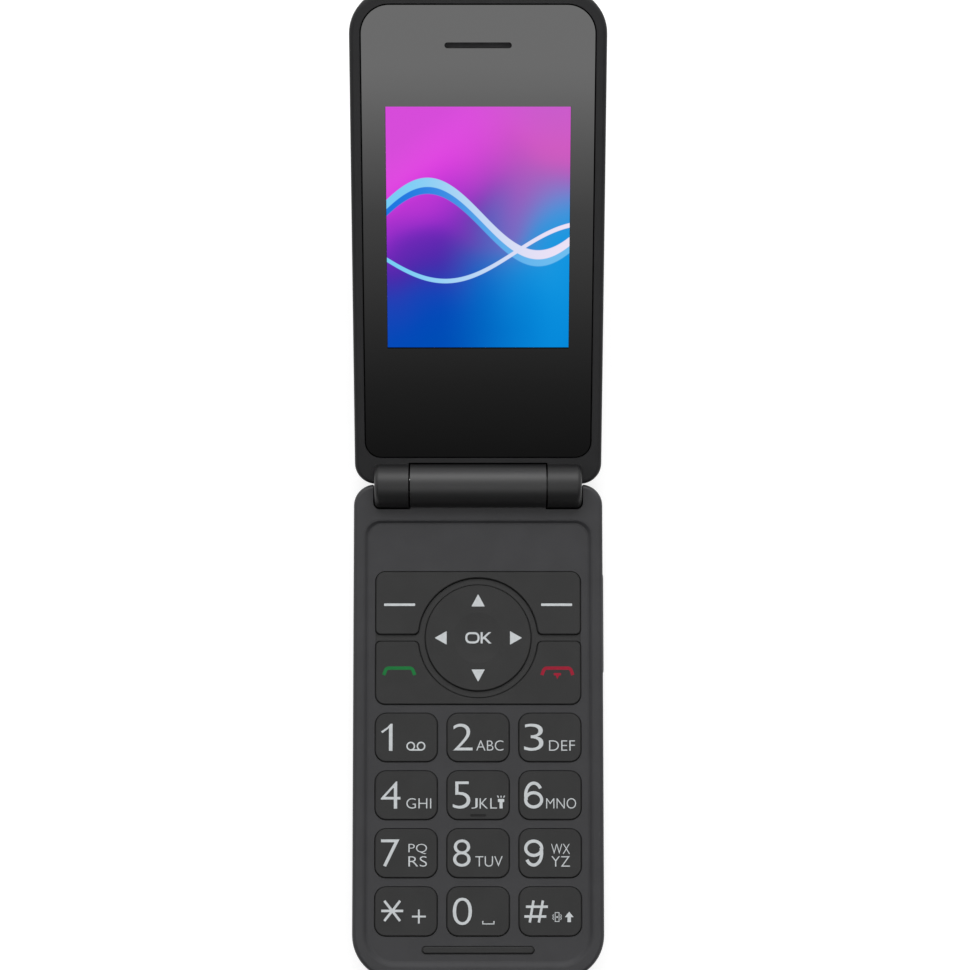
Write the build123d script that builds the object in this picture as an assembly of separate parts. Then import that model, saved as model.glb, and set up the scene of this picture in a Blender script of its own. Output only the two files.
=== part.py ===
from build123d import *
from math import cos, radians, sin
import os

# Flip phone, open at rest. Millimetres, +Z up, +Y from the chin towards the hinge and the lid.
# The origin is the centre of the base half's flat back, which lies on the table.
# The lid is modelled in its own frame: x across, y away from the hinge axis, z out of its inner face.

# Overall sizes
WIDTH = 51.7
REACH = 101.3
LID_INSET = 0.25
BASE_T = 10.3
LID_T = 8.2
CLOSED_GAP = 0.4
OPEN_ANGLE = 160.0

# Housing form
WALL = 1.5
CHIN_CORNER_R = 9.0
TIP_CORNER_R = 8.6
HINGE_CORNER_R = 4.4
BACK_EDGE_R = 2.8
RIM_EDGE_R = 0.9
BASE_PAST_AXIS = 0.35
LID_SHORT_OF_AXIS = 0.15
SEAM = 0.1

# Hinge barrel
BARREL_R = 4.55
BARREL_LENGTH = 42.9
CENTRE_LENGTH = 28.1
KNUCKLE_GAP = 0.35
KNUCKLE_EDGE_R = 1.0
KNUCKLE_BORE_R = 3.2
RUNNING_GAP = 0.05
SHAFT_R = 1.2
HEAD_FLATS_R = 2.5
BUSH_WALL = 0.7
FLEX_T = 0.25
FLEX_ROLL_R = 2.0
SPRING_R = 1.8
SPRING_WIRE = 0.5
SPRING_TURNS = 4

# Keypad field, sunk into the front of the base
FIELD_DEPTH = 0.6
RIM_W = 2.05
SLOPE_W = 1.2
FIELD_START = 6.9
FIELD_TO_CHIN = 2.5
FIELD_CORNER_R = 3.4
DECK_T = 1.3

# Keys, placed by their distance from the hinge axis
KEYPAD_SIDE = 4.65
KEY_COLUMN_GAP = 2.0
KEY_ROW_GAP = 1.9
KEYPAD_START = 47.1
KEYPAD_TO_CHIN = 8.8
KEY_CORNER_R = 2.3
KEY_PROUD = 0.35
KEY_CLEAR = 0.15
KEY_TRAVEL = 0.3
KEY_EDGE = 0.2
FLANGE_T = 0.25
FLANGE_W = 0.3
FLANGE_DROP = 0.4
MAT_T = 0.35

# Navigation cluster
CLUSTER_START = 17.85
CLUSTER_LENGTH = 27.4
CLUSTER_CORNER_R = 2.0
ARCH_R = 12.4
ARCH_SPLIT = 1.44
ARCH_CORNER_R = 1.1
DISC_R = 10.95
DISC_DISH_R = 5.2
DISC_DISH_DEPTH = 0.25
RING_DROP = 0.3
TILT_R = 8.0
NUB_R = 1.5

# Electronics in the base
BOARD_T = 0.8
FLOOR_T = 0.6
DOME_T = 0.2
DOME_R = 2.2
COVER_T = 1.2
COVER_SEAM_Z = 1.7
COVER_TO_AXIS = 12.5
GRIP_GROOVES = 4
GRIP_PITCH = 1.8
GRIP_W = 12.0
GRIP_GROOVE_W = 0.9
GRIP_DEPTH = 0.35
GRIP_TO_END = 5.0
SEAM_Z = 6.5
BATTERY_W = 35.0
BATTERY_L = 50.0
BAY_WALL = 0.8
CONNECTOR_L = 3.0
JACK_X = -12.0
JACK_BORE_R = 1.8
JACK_BODY = 5.0
JACK_DEPTH = 11.0
JACK_NOSE_WALL = 0.3
JACK_NOSE_SUNK = 0.3
MIC_X = -5.0
MIC_HOLE_R = 0.4
USB_W = 7.5
USB_H = 2.6
USB_DEPTH = 5.6
SPEAKER_L = 15.0
SPEAKER_W = 11.0
MOTOR_R = 3.5
SCREW_R = 0.7
SCREW_HEAD_R = 1.3
SCREW_HEAD_T = 0.6
BOSS_R = 1.7
SIDE_KEY_START = 18.3
SIDE_KEY_LENGTH = 20.5
SIDE_KEY_H = 2.4
SIDE_KEY_PROUD = 0.2
STRIP_W = 23.2
STRIP_H = 1.7
STRIP_TO_CHIN = 5.95
STRIP_CLEAR = 0.15

# Lid
WINDOW_BORDER = 2.1
WINDOW_START = 5.85
WINDOW_TO_TIP = 2.65
WINDOW_T = 0.9
WINDOW_HINGE_R = 3.5
WINDOW_TIP_R = 5.9
SHELF_T = 0.8
LID_SPLIT = 4.2
LID_SKIN = 1.2
DISPLAY_W = 40.8
DISPLAY_START = 26.2
DISPLAY_L = 55.4
DISPLAY_T = 2.2
VIEW_W = 37.1
VIEW_START = 29.05
VIEW_L = 49.15
EAR_TO_TIP = 10.8
EAR_SLOT_W = 13.35
EAR_SLOT_H = 1.15
EAR_W = 15.0
EAR_H = 6.0
LID_BOARD_T = 0.6
OUTER_WINDOW_W = 32.0
OUTER_WINDOW_START = 26.0
OUTER_WINDOW_L = 34.0
OUTER_DISPLAY_W = 27.0
OUTER_DISPLAY_L = 30.0
OUTER_DISPLAY_T = 1.8
CAMERA_S = 15.5
CAMERA_BODY = 8.5
CAMERA_LENS_R = 3.6
FLASH_X = 9.0
FLASH_R = 1.6

# Places worked out from the sizes above
HALF_W = WIDTH / 2
LID_HALF_W = HALF_W - LID_INSET
LID_REACH = REACH - LID_INSET
AXIS_Y = REACH / 2
CHIN_Y = -REACH / 2
AXIS_Z = BASE_T + CLOSED_GAP / 2
FIELD_Z = BASE_T - FIELD_DEPTH
DECK_Z = FIELD_Z - DECK_T
KEY_TOP_Z = FIELD_Z + KEY_PROUD
FLANGE_TOP_Z = DECK_Z - FLANGE_DROP
FLANGE_Z = FLANGE_TOP_Z - FLANGE_T
MAT_TOP_Z = FLANGE_Z - KEY_TRAVEL - SEAM / 2
MAT_Z = MAT_TOP_Z - MAT_T
DOME_TOP_Z = MAT_Z - RUNNING_GAP
BOARD_TOP_Z = DOME_TOP_Z - 1.5 * DOME_T
BOARD_Z = BOARD_TOP_Z - BOARD_T
FLOOR_TOP_Z = BOARD_Z - SEAM
FLOOR_Z = FLOOR_TOP_Z - FLOOR_T
BATTERY_Z = COVER_T + SEAM
BATTERY_TOP_Z = FLOOR_Z - SEAM
CAVITY_END_Y = AXIS_Y - BARREL_R - WALL - 0.45
COVER_END_Y = AXIS_Y - COVER_TO_AXIS
CAVITY_CHIN_Y = CHIN_Y + WALL
CAVITY_R = CHIN_CORNER_R - WALL
CENTRE_HALF = CENTRE_LENGTH / 2
END_IN = CENTRE_HALF + KNUCKLE_GAP
END_OUT = BARREL_LENGTH / 2
END_BORE_OUT = END_OUT - 1.05
CLUSTER_W = WIDTH - 2 * KEYPAD_SIDE
CLUSTER_Y = AXIS_Y - CLUSTER_START - CLUSTER_LENGTH / 2
KEY_W = (CLUSTER_W - 2 * KEY_COLUMN_GAP) / 3
KEYPAD_LENGTH = REACH - KEYPAD_TO_CHIN - KEYPAD_START
KEY_H = (KEYPAD_LENGTH - 3 * KEY_ROW_GAP) / 4
JACK_Z = BOARD_TOP_Z - SEAM - JACK_BODY / 2
USB_Z = BOARD_Z - RUNNING_GAP - USB_H / 2
JACK_END_Y = CAVITY_CHIN_Y + SEAM / 2 + JACK_DEPTH
USB_START_Y = CHIN_Y + 0.5
USB_END_Y = USB_START_Y + USB_DEPTH
BATTERY_CHIN_Y = JACK_END_Y + BAY_WALL + 2 * SEAM
BATTERY_END_Y = BATTERY_CHIN_Y + BATTERY_L
LOBBY_Y = BATTERY_END_Y + CONNECTOR_L + 2 * SEAM
SIDE_KEY_Z = (BOARD_Z + DECK_Z) / 2 - 0.4
SIDE_KEY_Y = AXIS_Y - SIDE_KEY_START - SIDE_KEY_LENGTH / 2
BASE_SCREWS = [
    (sx * (HALF_W - inset), y)
    for inset, y in ((5.0, COVER_END_Y - 2.8), (6.5, CHIN_Y + 5.9))
    for sx in (-1, 1)
]
LID_IN = -CLOSED_GAP / 2
LID_BACK = LID_IN - LID_T
SHELF_TOP = LID_IN - WINDOW_T - SEAM
SHELF_UNDER = SHELF_TOP - SHELF_T
SPLIT_Z = LID_IN - LID_SPLIT
SKIN_Z = LID_BACK + LID_SKIN
DISPLAY_TOP = SHELF_TOP - RUNNING_GAP
LID_BOARD_TOP = DISPLAY_TOP - DISPLAY_T - 0.2
LID_BOARD_Z = LID_BOARD_TOP - LID_BOARD_T
EAR_S = LID_REACH - EAR_TO_TIP
LID_CAVITY_START = BARREL_R + WALL + 0.45
LID_SCREWS = [
    (sx * (LID_HALF_W - inset), s)
    for inset, s in ((3.8, 9.0), (5.6, LID_REACH - 7.4))
    for sx in (-1, 1)
]
FLEX_SPLIT_X = END_IN + 2.4

LID_FRAME = Plane(
    origin=(0, AXIS_Y, AXIS_Z),
    x_dir=(1, 0, 0),
    z_dir=(0, -sin(radians(180 - OPEN_ANGLE)), cos(radians(180 - OPEN_ANGLE))),
)


def outline(half_width, y_low, y_high, r_low, r_high):
    """Plate outline whose two ends have corner radii of their own."""
    plate = Pos(0, (y_low + y_high) / 2) * Rectangle(2 * half_width, y_high - y_low)
    plate = fillet(plate.vertices().group_by(Axis.Y)[0], r_low)
    return fillet(plate.vertices().group_by(Axis.Y)[-1], r_high)


def slab(sketch, z_low, z_high):
    """A sketch drawn at z = 0, made a plate between two heights."""
    return Pos(0, 0, z_low) * extrude(sketch, z_high - z_low)


def block(x_low, x_high, y_low, y_high, z_low, z_high):
    """A plain block between two corners."""
    middle = Pos((x_low + x_high) / 2, (y_low + y_high) / 2, (z_low + z_high) / 2)
    return middle * Box(x_high - x_low, y_high - y_low, z_high - z_low)


def post(x, y, radius, z_low, z_high):
    """A round post that stands along Z."""
    return Pos(x, y, (z_low + z_high) / 2) * Cylinder(radius, z_high - z_low)


def boss(x, y, radius, z_low, z_high):
    """An eight-sided post, as moulded round a screw; its flats touch the radius."""
    return slab(Pos(x, y) * RegularPolygon(radius, 8, major_radius=False), z_low, z_high)


def rod(x_low, x_high, radius, y=AXIS_Y, z=AXIS_Z):
    """A round bar along X, on the hinge axis unless told otherwise."""
    return Pos((x_low + x_high) / 2, y, z) * Rot(0, 90, 0) * Cylinder(radius, x_high - x_low)


def rounded_rod(x_low, x_high, radius, edge_r, y=AXIS_Y, z=AXIS_Z):
    """A bar along X with its outer end softened; the outer end is the one further from x = 0."""
    bar = rod(x_low, x_high, radius, y, z)
    ends = bar.edges().filter_by(GeomType.CIRCLE).sort_by(Axis.X)
    return fillet(ends[-1] if x_high > 0 else ends[0], edge_r)


def in_lid(piece):
    """Turns a piece from the lid's own frame into the open position."""
    return LID_FRAME.location * piece


# Base housings


def base_envelope():
    """The base half's outer form, with its back edge and its rim rounded."""
    body = slab(
        outline(HALF_W, CHIN_Y, AXIS_Y + BASE_PAST_AXIS, CHIN_CORNER_R, HINGE_CORNER_R), 0, BASE_T
    )
    body = fillet(body.edges().group_by(Axis.Z)[0], BACK_EDGE_R)
    return fillet(body.edges().group_by(Axis.Z)[-1], RIM_EDGE_R)


def base_cavity(z_low, z_high, inset=0.0, y_high=None):
    """The hollow inside the base walls, drawn in by an inset."""
    top = CAVITY_END_Y if y_high is None else y_high
    sketch = outline(
        HALF_W - WALL - inset, CAVITY_CHIN_Y + inset, top - inset, CAVITY_R - inset, 2.0
    )
    return slab(sketch, z_low, z_high)


def keypad_field():
    """The sunken field: a flat floor, and round it a slope that starts and ends gently."""
    sections = []
    for inset, rise in ((1.0, 0.0), (0.72, 0.14), (0.28, 0.86), (0.0, 1.0)):
        sketch = outline(
            HALF_W - RIM_W - inset * SLOPE_W,
            CHIN_Y + FIELD_TO_CHIN + inset * SLOPE_W,
            AXIS_Y - FIELD_START - inset * SLOPE_W,
            CHIN_CORNER_R - RIM_W - inset * SLOPE_W,
            FIELD_CORNER_R - inset * SLOPE_W / 2,
        )
        sections.append((Pos(0, 0, FIELD_Z + rise * FIELD_DEPTH) * sketch).faces()[0])
    return loft(sections, ruled=True)


def key_places():
    """Centre of every number key, by name."""
    names = ["1", "2", "3", "4", "5", "6", "7", "8", "9", "star", "0", "hash"]
    places = {}
    for index, name in enumerate(names):
        row, column = divmod(index, 3)
        x = (column - 1) * (KEY_W + KEY_COLUMN_GAP)
        y = AXIS_Y - KEYPAD_START - KEY_H / 2 - row * (KEY_H + KEY_ROW_GAP)
        places[name] = (x, y)
    return places


def key_outline(x, y, grow=0.0):
    """Outline of one number key, grown by a margin."""
    return Pos(x, y) * RectangleRounded(
        KEY_W + 2 * grow, KEY_H + 2 * grow, min(KEY_CORNER_R, KEY_H / 2.5) + grow
    )


def arch_outline(side, grow=0.0):
    """Outline of the arch over (side 1) or under (side -1) the round key."""
    width, height = CLUSTER_W + 2 * grow, CLUSTER_LENGTH + 2 * grow
    whole = Pos(0, CLUSTER_Y) * RectangleRounded(width, height, CLUSTER_CORNER_R + grow)
    far_half = Pos(0, CLUSTER_Y + side * (ARCH_SPLIT / 2 - grow - height / 2)) * Rectangle(
        2 * width, height
    )
    arch = whole - far_half - Pos(0, CLUSTER_Y) * Circle(ARCH_R - grow)
    feet = arch.vertices().group_by(Axis.Y)[0 if side > 0 else -1]
    return fillet(feet, ARCH_CORNER_R)


def disc_outline(grow=0.0):
    """Outline of the round key."""
    return Pos(0, CLUSTER_Y) * Circle(DISC_R + grow)


def side_key_slot():
    """The hole that the side key works in."""
    return block(
        HALF_W - WALL - 1.0,
        HALF_W + 1.0,
        SIDE_KEY_Y - SIDE_KEY_LENGTH / 2 - KEY_CLEAR,
        SIDE_KEY_Y + SIDE_KEY_LENGTH / 2 + KEY_CLEAR,
        SIDE_KEY_Z - SIDE_KEY_H / 2 - KEY_CLEAR,
        SIDE_KEY_Z + SIDE_KEY_H / 2 + KEY_CLEAR,
    )


def end_knuckle_room():
    """What the lid's knuckles need cut out of the base."""
    outer = END_OUT + KNUCKLE_GAP
    cut = Part()
    for sx in (-1, 1):
        x_low, x_high = sorted((sx * CENTRE_HALF, sx * outer))
        cut += rounded_rod(x_low, x_high, BARREL_R + KNUCKLE_GAP, KNUCKLE_EDGE_R + KNUCKLE_GAP)
    return cut


def flex_slot():
    """Passage for the flat cable from the barrel into the base."""
    return block(7.4, 12.6, CAVITY_END_Y - 1.0, AXIS_Y - 1.5, DECK_Z - 1.4, DECK_Z - 0.1)


def strip_outline(grow=0.0):
    """The thin rounded bar at the chin."""
    return Pos(0, CHIN_Y + STRIP_TO_CHIN) * SlotOverall(STRIP_W + 2 * grow, STRIP_H + 2 * grow)


def make_base_front_housing():
    envelope = base_envelope()
    housing = envelope & block(-WIDTH, WIDTH, -REACH, REACH, SEAM_Z, BASE_T + 1)
    housing -= end_knuckle_room()
    housing += rod(-CENTRE_HALF, CENTRE_HALF, BARREL_R)
    housing -= base_cavity(SEAM_Z - 1, DECK_Z)
    housing -= keypad_field()
    ring = CLUSTER_Y, FIELD_Z - RING_DROP
    cluster = RectangleRounded(CLUSTER_W, CLUSTER_LENGTH, CLUSTER_CORNER_R)
    housing -= slab(Pos(0, ring[0]) * cluster, ring[1], BASE_T)
    for side in (-1, 1):
        housing -= slab(arch_outline(side, KEY_CLEAR), DECK_Z - 1, BASE_T)
    housing -= slab(disc_outline(KEY_CLEAR), DECK_Z - 1, BASE_T)
    for x, y in key_places().values():
        housing -= slab(key_outline(x, y, KEY_CLEAR), DECK_Z - 1, BASE_T)
    housing -= slab(strip_outline(), FIELD_Z - 0.5, BASE_T)
    housing -= rod(-CENTRE_HALF - 1, -0.9, KNUCKLE_BORE_R)
    housing -= rod(6.0, CENTRE_HALF + 1, KNUCKLE_BORE_R)
    housing -= flex_slot()
    housing -= side_key_slot()
    for x, y in BASE_SCREWS:
        housing += boss(x, y, BOSS_R, BOARD_TOP_Z + SEAM, DECK_Z)
        housing -= boss(x, y, SCREW_R + RUNNING_GAP, BOARD_TOP_Z - 1, DECK_Z - 0.1)
    return housing - rod_y(MIC_X, BOARD_TOP_Z + 0.5, MIC_HOLE_R, CHIN_Y - 1, CAVITY_CHIN_Y + 1)


def make_base_rear_housing():
    envelope = base_envelope()
    housing = envelope & block(-WIDTH, WIDTH, -REACH, REACH, -1, SEAM_Z)
    housing -= block(-WIDTH, WIDTH, -REACH, COVER_END_Y, -1, COVER_SEAM_Z)
    housing -= end_knuckle_room()
    housing -= rod(-CENTRE_HALF - 1, CENTRE_HALF + 1, BARREL_R + SEAM)
    housing -= base_cavity(FLOOR_TOP_Z, SEAM_Z + 1)
    housing -= base_cavity(COVER_SEAM_Z - 1, FLOOR_Z, y_high=COVER_END_Y - 1.0)
    back_room = block(
        -HALF_W + 2 * WALL, HALF_W - 2 * WALL, COVER_END_Y, CAVITY_END_Y, COVER_T, FLOOR_Z
    )
    housing -= back_room
    half_bay = BATTERY_W / 2 + SEAM
    bay = block(
        -half_bay - BAY_WALL,
        half_bay + BAY_WALL,
        BATTERY_CHIN_Y - SEAM - BAY_WALL,
        BATTERY_END_Y + SEAM + BAY_WALL,
        COVER_SEAM_Z + 0.6,
        FLOOR_Z,
    )
    bay -= block(
        -half_bay, half_bay, BATTERY_CHIN_Y - SEAM, BATTERY_END_Y + SEAM, 0, FLOOR_Z
    )
    bay -= block(-6.5, 6.5, BATTERY_END_Y - 1, BATTERY_END_Y + 2, 0, FLOOR_Z)
    housing += bay
    jack_half = JACK_BODY / 2 + SEAM
    housing -= block(
        JACK_X - jack_half, JACK_X + jack_half, CAVITY_CHIN_Y, JACK_END_Y + SEAM, 0, SEAM_Z + 1
    )
    nose_r = JACK_BORE_R + JACK_NOSE_WALL
    housing -= rod_y(JACK_X, JACK_Z, nose_r + SEAM, CHIN_Y - 1, CAVITY_CHIN_Y + 1)
    housing -= usb_room()
    housing -= block(1.0, 17.0, LOBBY_Y + 0.5, LOBBY_Y + 13.5, FLOOR_Z - 1, FLOOR_TOP_Z + 1)
    for x, y in BASE_SCREWS:
        housing += boss(x, y, BOSS_R, COVER_SEAM_Z + 0.6, FLOOR_Z)
        housing -= boss(x, y, SCREW_R + RUNNING_GAP, 0, SEAM_Z)
        housing -= boss(x, y, SCREW_HEAD_R + SEAM, 0, COVER_SEAM_Z + 0.7 + SCREW_HEAD_T)
    housing -= side_key_slot()
    return housing


def rod_y(x, z, radius, y_low, y_high):
    """A round bar along Y."""
    return Pos(x, (y_low + y_high) / 2, z) * Rot(90, 0, 0) * Cylinder(radius, y_high - y_low)


def usb_room():
    """Window for the charging socket in the chin wall and in the floor over it."""
    half = USB_W / 2 + SEAM
    low, high = USB_Z - USB_H / 2 - SEAM, USB_Z + USB_H / 2 + SEAM
    window = block(-half, half, CHIN_Y - 1, CAVITY_CHIN_Y + 1, low, high)
    return window + block(-half, half, CAVITY_CHIN_Y, USB_END_Y + SEAM, FLOOR_Z - 1, SEAM_Z)


def speaker_place():
    """Low corner of the loudspeaker."""
    return -BATTERY_W / 2, LOBBY_Y + 1.5


def make_battery_cover():
    cover = base_envelope() & block(
        -WIDTH, WIDTH, -REACH, COVER_END_Y - 1.2 * SEAM, -1, COVER_SEAM_Z - 1.2 * SEAM
    )
    room = outline(HALF_W - 2 * WALL, CHIN_Y + 2 * WALL, REACH, CHIN_CORNER_R - 2 * WALL, 2.0)
    cover -= slab(room, COVER_T, COVER_SEAM_Z + 1)
    x_low, y_low = speaker_place()
    for step in range(5):
        slot = Pos(x_low + SPEAKER_L / 2, y_low + 1.5 + 2.0 * step) * SlotOverall(10.0, 0.9)
        cover -= slab(slot, -1, COVER_T + 1)
    for step in range(GRIP_GROOVES):
        y = COVER_END_Y - GRIP_TO_END - step * GRIP_PITCH
        cover -= slab(Pos(0, y) * SlotOverall(GRIP_W, GRIP_GROOVE_W), -1, GRIP_DEPTH)
    return cover


# Keys


def make_key(name, x, y):
    cap = slab(key_outline(x, y), FLANGE_Z, KEY_TOP_Z)
    cap = chamfer(cap.edges().group_by(Axis.Z)[-1], KEY_EDGE)
    foot = Pos(x, y) * Rectangle(KEY_W + 2 * FLANGE_W, KEY_H + 2 * FLANGE_W)
    cap += slab(foot, FLANGE_Z, FLANGE_TOP_Z)
    if name == "5":
        bar = Pos(x, y - KEY_H / 2 + 0.95) * SlotOverall(3.2, 0.4)
        cap += slab(bar, KEY_TOP_Z - 0.1, KEY_TOP_Z + 0.15)
    return cap


def make_arch(side):
    cap = slab(arch_outline(side), FLANGE_Z, KEY_TOP_Z)
    cap = chamfer(cap.edges().group_by(Axis.Z)[-1], KEY_EDGE)
    return cap + slab(arch_outline(side, FLANGE_W), FLANGE_Z, FLANGE_TOP_Z)


def make_nav_key():
    """Round key: flange, soft edge, hollow underside, and a shallow dish for the fingertip."""
    cap = post(0, CLUSTER_Y, DISC_R, FLANGE_Z, KEY_TOP_Z)
    cap = chamfer(cap.edges().group_by(Axis.Z)[-1], KEY_EDGE)
    cap += post(0, CLUSTER_Y, DISC_R + FLANGE_W, FLANGE_Z, FLANGE_TOP_Z)
    cap -= post(0, CLUSTER_Y, TILT_R + 0.5, FLANGE_Z - 1, FLANGE_TOP_Z + 0.3)
    dish_r = (DISC_DISH_R**2 + DISC_DISH_DEPTH**2) / (2 * DISC_DISH_DEPTH)
    return cap - Pos(0, CLUSTER_Y, KEY_TOP_Z - DISC_DISH_DEPTH + dish_r) * Sphere(dish_r)


def make_nav_pad():
    """Soft pad under the round key, with its pivot nub on top."""
    roof = FLANGE_TOP_Z + 0.3
    pad = post(0, CLUSTER_Y, TILT_R, MAT_TOP_Z + 0.1, FLANGE_Z - RUNNING_GAP)
    return pad + post(0, CLUSTER_Y, NUB_R, MAT_TOP_Z + 0.1, roof - RUNNING_GAP)


def make_nav_plunger():
    return post(0, CLUSTER_Y, NUB_R, MAT_Z + 0.25, MAT_TOP_Z + 0.1 - RUNNING_GAP)


def make_side_key():
    inner_x = HALF_W - WALL - 0.15
    key = block(
        inner_x,
        HALF_W + SIDE_KEY_PROUD,
        SIDE_KEY_Y - SIDE_KEY_LENGTH / 2,
        SIDE_KEY_Y + SIDE_KEY_LENGTH / 2,
        SIDE_KEY_Z - SIDE_KEY_H / 2,
        SIDE_KEY_Z + SIDE_KEY_H / 2,
    )
    corners = key.edges().filter_by(Axis.X)
    key = fillet(corners, SIDE_KEY_H / 2 - 0.1)
    return chamfer(key.faces().sort_by(Axis.X)[-1].edges(), 0.15)


def make_side_switches():
    switches = Part()
    for step in (-1, 1):
        y = SIDE_KEY_Y + step * SIDE_KEY_LENGTH * 0.32
        x = HALF_W - WALL - 1.6
        switches += block(x, x + 1.2, y - 2, y + 2, BOARD_TOP_Z, BOARD_TOP_Z + 1.1)
    return switches


# Inside the base


def board_outline(grow=0.0):
    return outline(
        HALF_W - WALL - 0.5 + grow,
        CAVITY_CHIN_Y + 0.5 - grow,
        CAVITY_END_Y - 0.5 + grow,
        CAVITY_R - 0.5 + grow,
        1.5,
    )


def make_main_board():
    board = slab(board_outline(), BOARD_Z, BOARD_TOP_Z)
    jack_half = JACK_BODY / 2 + 2 * SEAM
    board -= block(
        JACK_X - jack_half, JACK_X + jack_half, CHIN_Y, JACK_END_Y + 2 * SEAM, 0, BASE_T
    )
    for x, y in BASE_SCREWS:
        board -= boss(x, y, SCREW_R + SEAM, 0, BASE_T)
    board += block(7.5, 12.5, CAVITY_END_Y - 4.4, CAVITY_END_Y - 2.0, BOARD_TOP_Z, DECK_Z - 1.05)
    return board


def make_dome_sheet():
    """Thin film with a click dome under each key."""
    film_top = BOARD_TOP_Z + DOME_T / 2
    film = slab(
        outline(
            CLUSTER_W / 2, AXIS_Y - KEYPAD_START - KEYPAD_LENGTH, AXIS_Y - CLUSTER_START, 1.0, 1.0
        ),
        BOARD_TOP_Z,
        film_top,
    )
    places = list(key_places().values())
    for angle in range(0, 360, 90):
        turn = radians(angle)
        places.append((TILT_R * 0.8 * cos(turn), CLUSTER_Y + TILT_R * 0.8 * sin(turn)))
    places.append((0, CLUSTER_Y))
    for sx in (-1, 1):
        for sy in (-1, 1):
            places.append((sx * CLUSTER_W * 0.4, CLUSTER_Y + sy * CLUSTER_LENGTH * 0.27))
    for x, y in places:
        film += slab(Pos(x, y) * RegularPolygon(DOME_R, 8), film_top, DOME_TOP_Z)
    return film


def make_keypad_mat():
    mat = slab(
        outline(
            CLUSTER_W / 2 + 0.8,
            AXIS_Y - KEYPAD_START - KEYPAD_LENGTH - 0.5,
            AXIS_Y - CLUSTER_START + 0.5,
            2.0,
            2.0,
        ),
        MAT_Z,
        MAT_TOP_Z,
    )
    return mat - post(0, CLUSTER_Y, DISC_R + FLANGE_W + 0.3, 0, BASE_T)


def make_battery():
    cell = block(
        -BATTERY_W / 2, BATTERY_W / 2, BATTERY_CHIN_Y, BATTERY_END_Y, BATTERY_Z, BATTERY_TOP_Z
    )
    return fillet(cell.edges().filter_by(Axis.Y), min(1.2, (BATTERY_TOP_Z - BATTERY_Z) / 3))


def make_battery_connector():
    """Block with three sprung contacts that reach the battery's end."""
    y_low = BATTERY_END_Y + SEAM
    body = block(-5.5, 5.5, y_low + 0.4, y_low + CONNECTOR_L, BATTERY_Z + 1.0, FLOOR_Z - RUNNING_GAP)
    for x in (-3.2, 0, 3.2):
        body += block(x - 0.5, x + 0.5, y_low, y_low + 0.6, BATTERY_Z + 1.4, FLOOR_Z - 0.6)
    return body


def make_headphone_socket():
    """Socket body with a round nose that comes through the chin wall."""
    y_low = CAVITY_CHIN_Y + SEAM / 2
    half = JACK_BODY / 2
    body = block(JACK_X - half, JACK_X + half, y_low, JACK_END_Y, JACK_Z - half, JACK_Z + half)
    body = chamfer(body.edges().filter_by(Axis.Y), 0.6)
    nose_r = JACK_BORE_R + JACK_NOSE_WALL
    body += rod_y(JACK_X, JACK_Z, nose_r, CHIN_Y + JACK_NOSE_SUNK, y_low + 0.5)
    return body - rod_y(JACK_X, JACK_Z, JACK_BORE_R, CHIN_Y, JACK_END_Y - 0.5)


def make_usb_socket():
    """Pressed metal shell, narrower along its lower edge, with the contact tongue inside."""
    half, low, high = USB_W / 2, USB_Z - USB_H / 2, USB_Z + USB_H / 2
    shell = block(-half, half, USB_START_Y, USB_END_Y, low, high)
    shell = chamfer(shell.edges().filter_by(Axis.Y).group_by(Axis.Z)[0], 0.8)
    wall = 0.3
    room = block(
        wall - half, half - wall, USB_START_Y - 1, USB_END_Y - 0.6, low + wall, high - wall
    )
    room = chamfer(room.edges().filter_by(Axis.Y).group_by(Axis.Z)[0], 0.7)
    tongue = block(-2.0, 2.0, USB_START_Y + 0.8, USB_END_Y - 0.5, USB_Z + 0.1, USB_Z + 0.5)
    return shell - room + tongue


def make_loudspeaker():
    x_low, y_low = speaker_place()
    body = block(
        x_low, x_low + SPEAKER_L, y_low, y_low + SPEAKER_W, BATTERY_Z, FLOOR_Z - RUNNING_GAP
    )
    body = fillet(body.edges().filter_by(Axis.Z), 3.0)
    cone = Pos(x_low + SPEAKER_L / 2, y_low + SPEAKER_W / 2) * RectangleRounded(
        SPEAKER_L - 3, SPEAKER_W - 3, 2.5
    )
    return body - slab(cone, BATTERY_Z - 1, BATTERY_Z + 0.4)


def make_vibration_motor():
    y = COVER_END_Y - 1.3 - MOTOR_R
    return post(8.0, y, MOTOR_R, FLOOR_Z - 3.0, FLOOR_Z - RUNNING_GAP)


def make_card_holder():
    """Low metal frame that a small card slides under."""
    y_low = LOBBY_Y + 1.0
    frame = block(1.5, 16.5, y_low, y_low + 12.0, FLOOR_Z - 0.9, BOARD_Z - RUNNING_GAP)
    frame -= block(2.2, 15.8, y_low - 1, y_low + 11.2, FLOOR_Z - 0.5, FLOOR_Z + 0.3)
    return frame - block(5.0, 13.0, y_low + 3, y_low + 9, FLOOR_Z - 1, FLOOR_Z)


def make_microphone():
    y = CAVITY_CHIN_Y + 0.7
    return block(MIC_X - 1.5, MIC_X + 1.5, y, y + 2.5, BOARD_TOP_Z, BOARD_TOP_Z + 1.0)


def make_antenna():
    """Thin folded strip in the hollow behind the hinge."""
    half = HALF_W - 2 * WALL - 1.0
    base = block(-half, half, COVER_END_Y + 1.0, CAVITY_END_Y - 0.5, COVER_T, COVER_T + 0.3)
    wall = block(
        -half, half, CAVITY_END_Y - 0.8, CAVITY_END_Y - 0.5, COVER_T, FLOOR_Z - 0.3
    )
    gap = block(-half + 4, half - 9, COVER_END_Y + 2.4, CAVITY_END_Y - 2.2, 0, COVER_T + 1)
    return base - gap + wall


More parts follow.
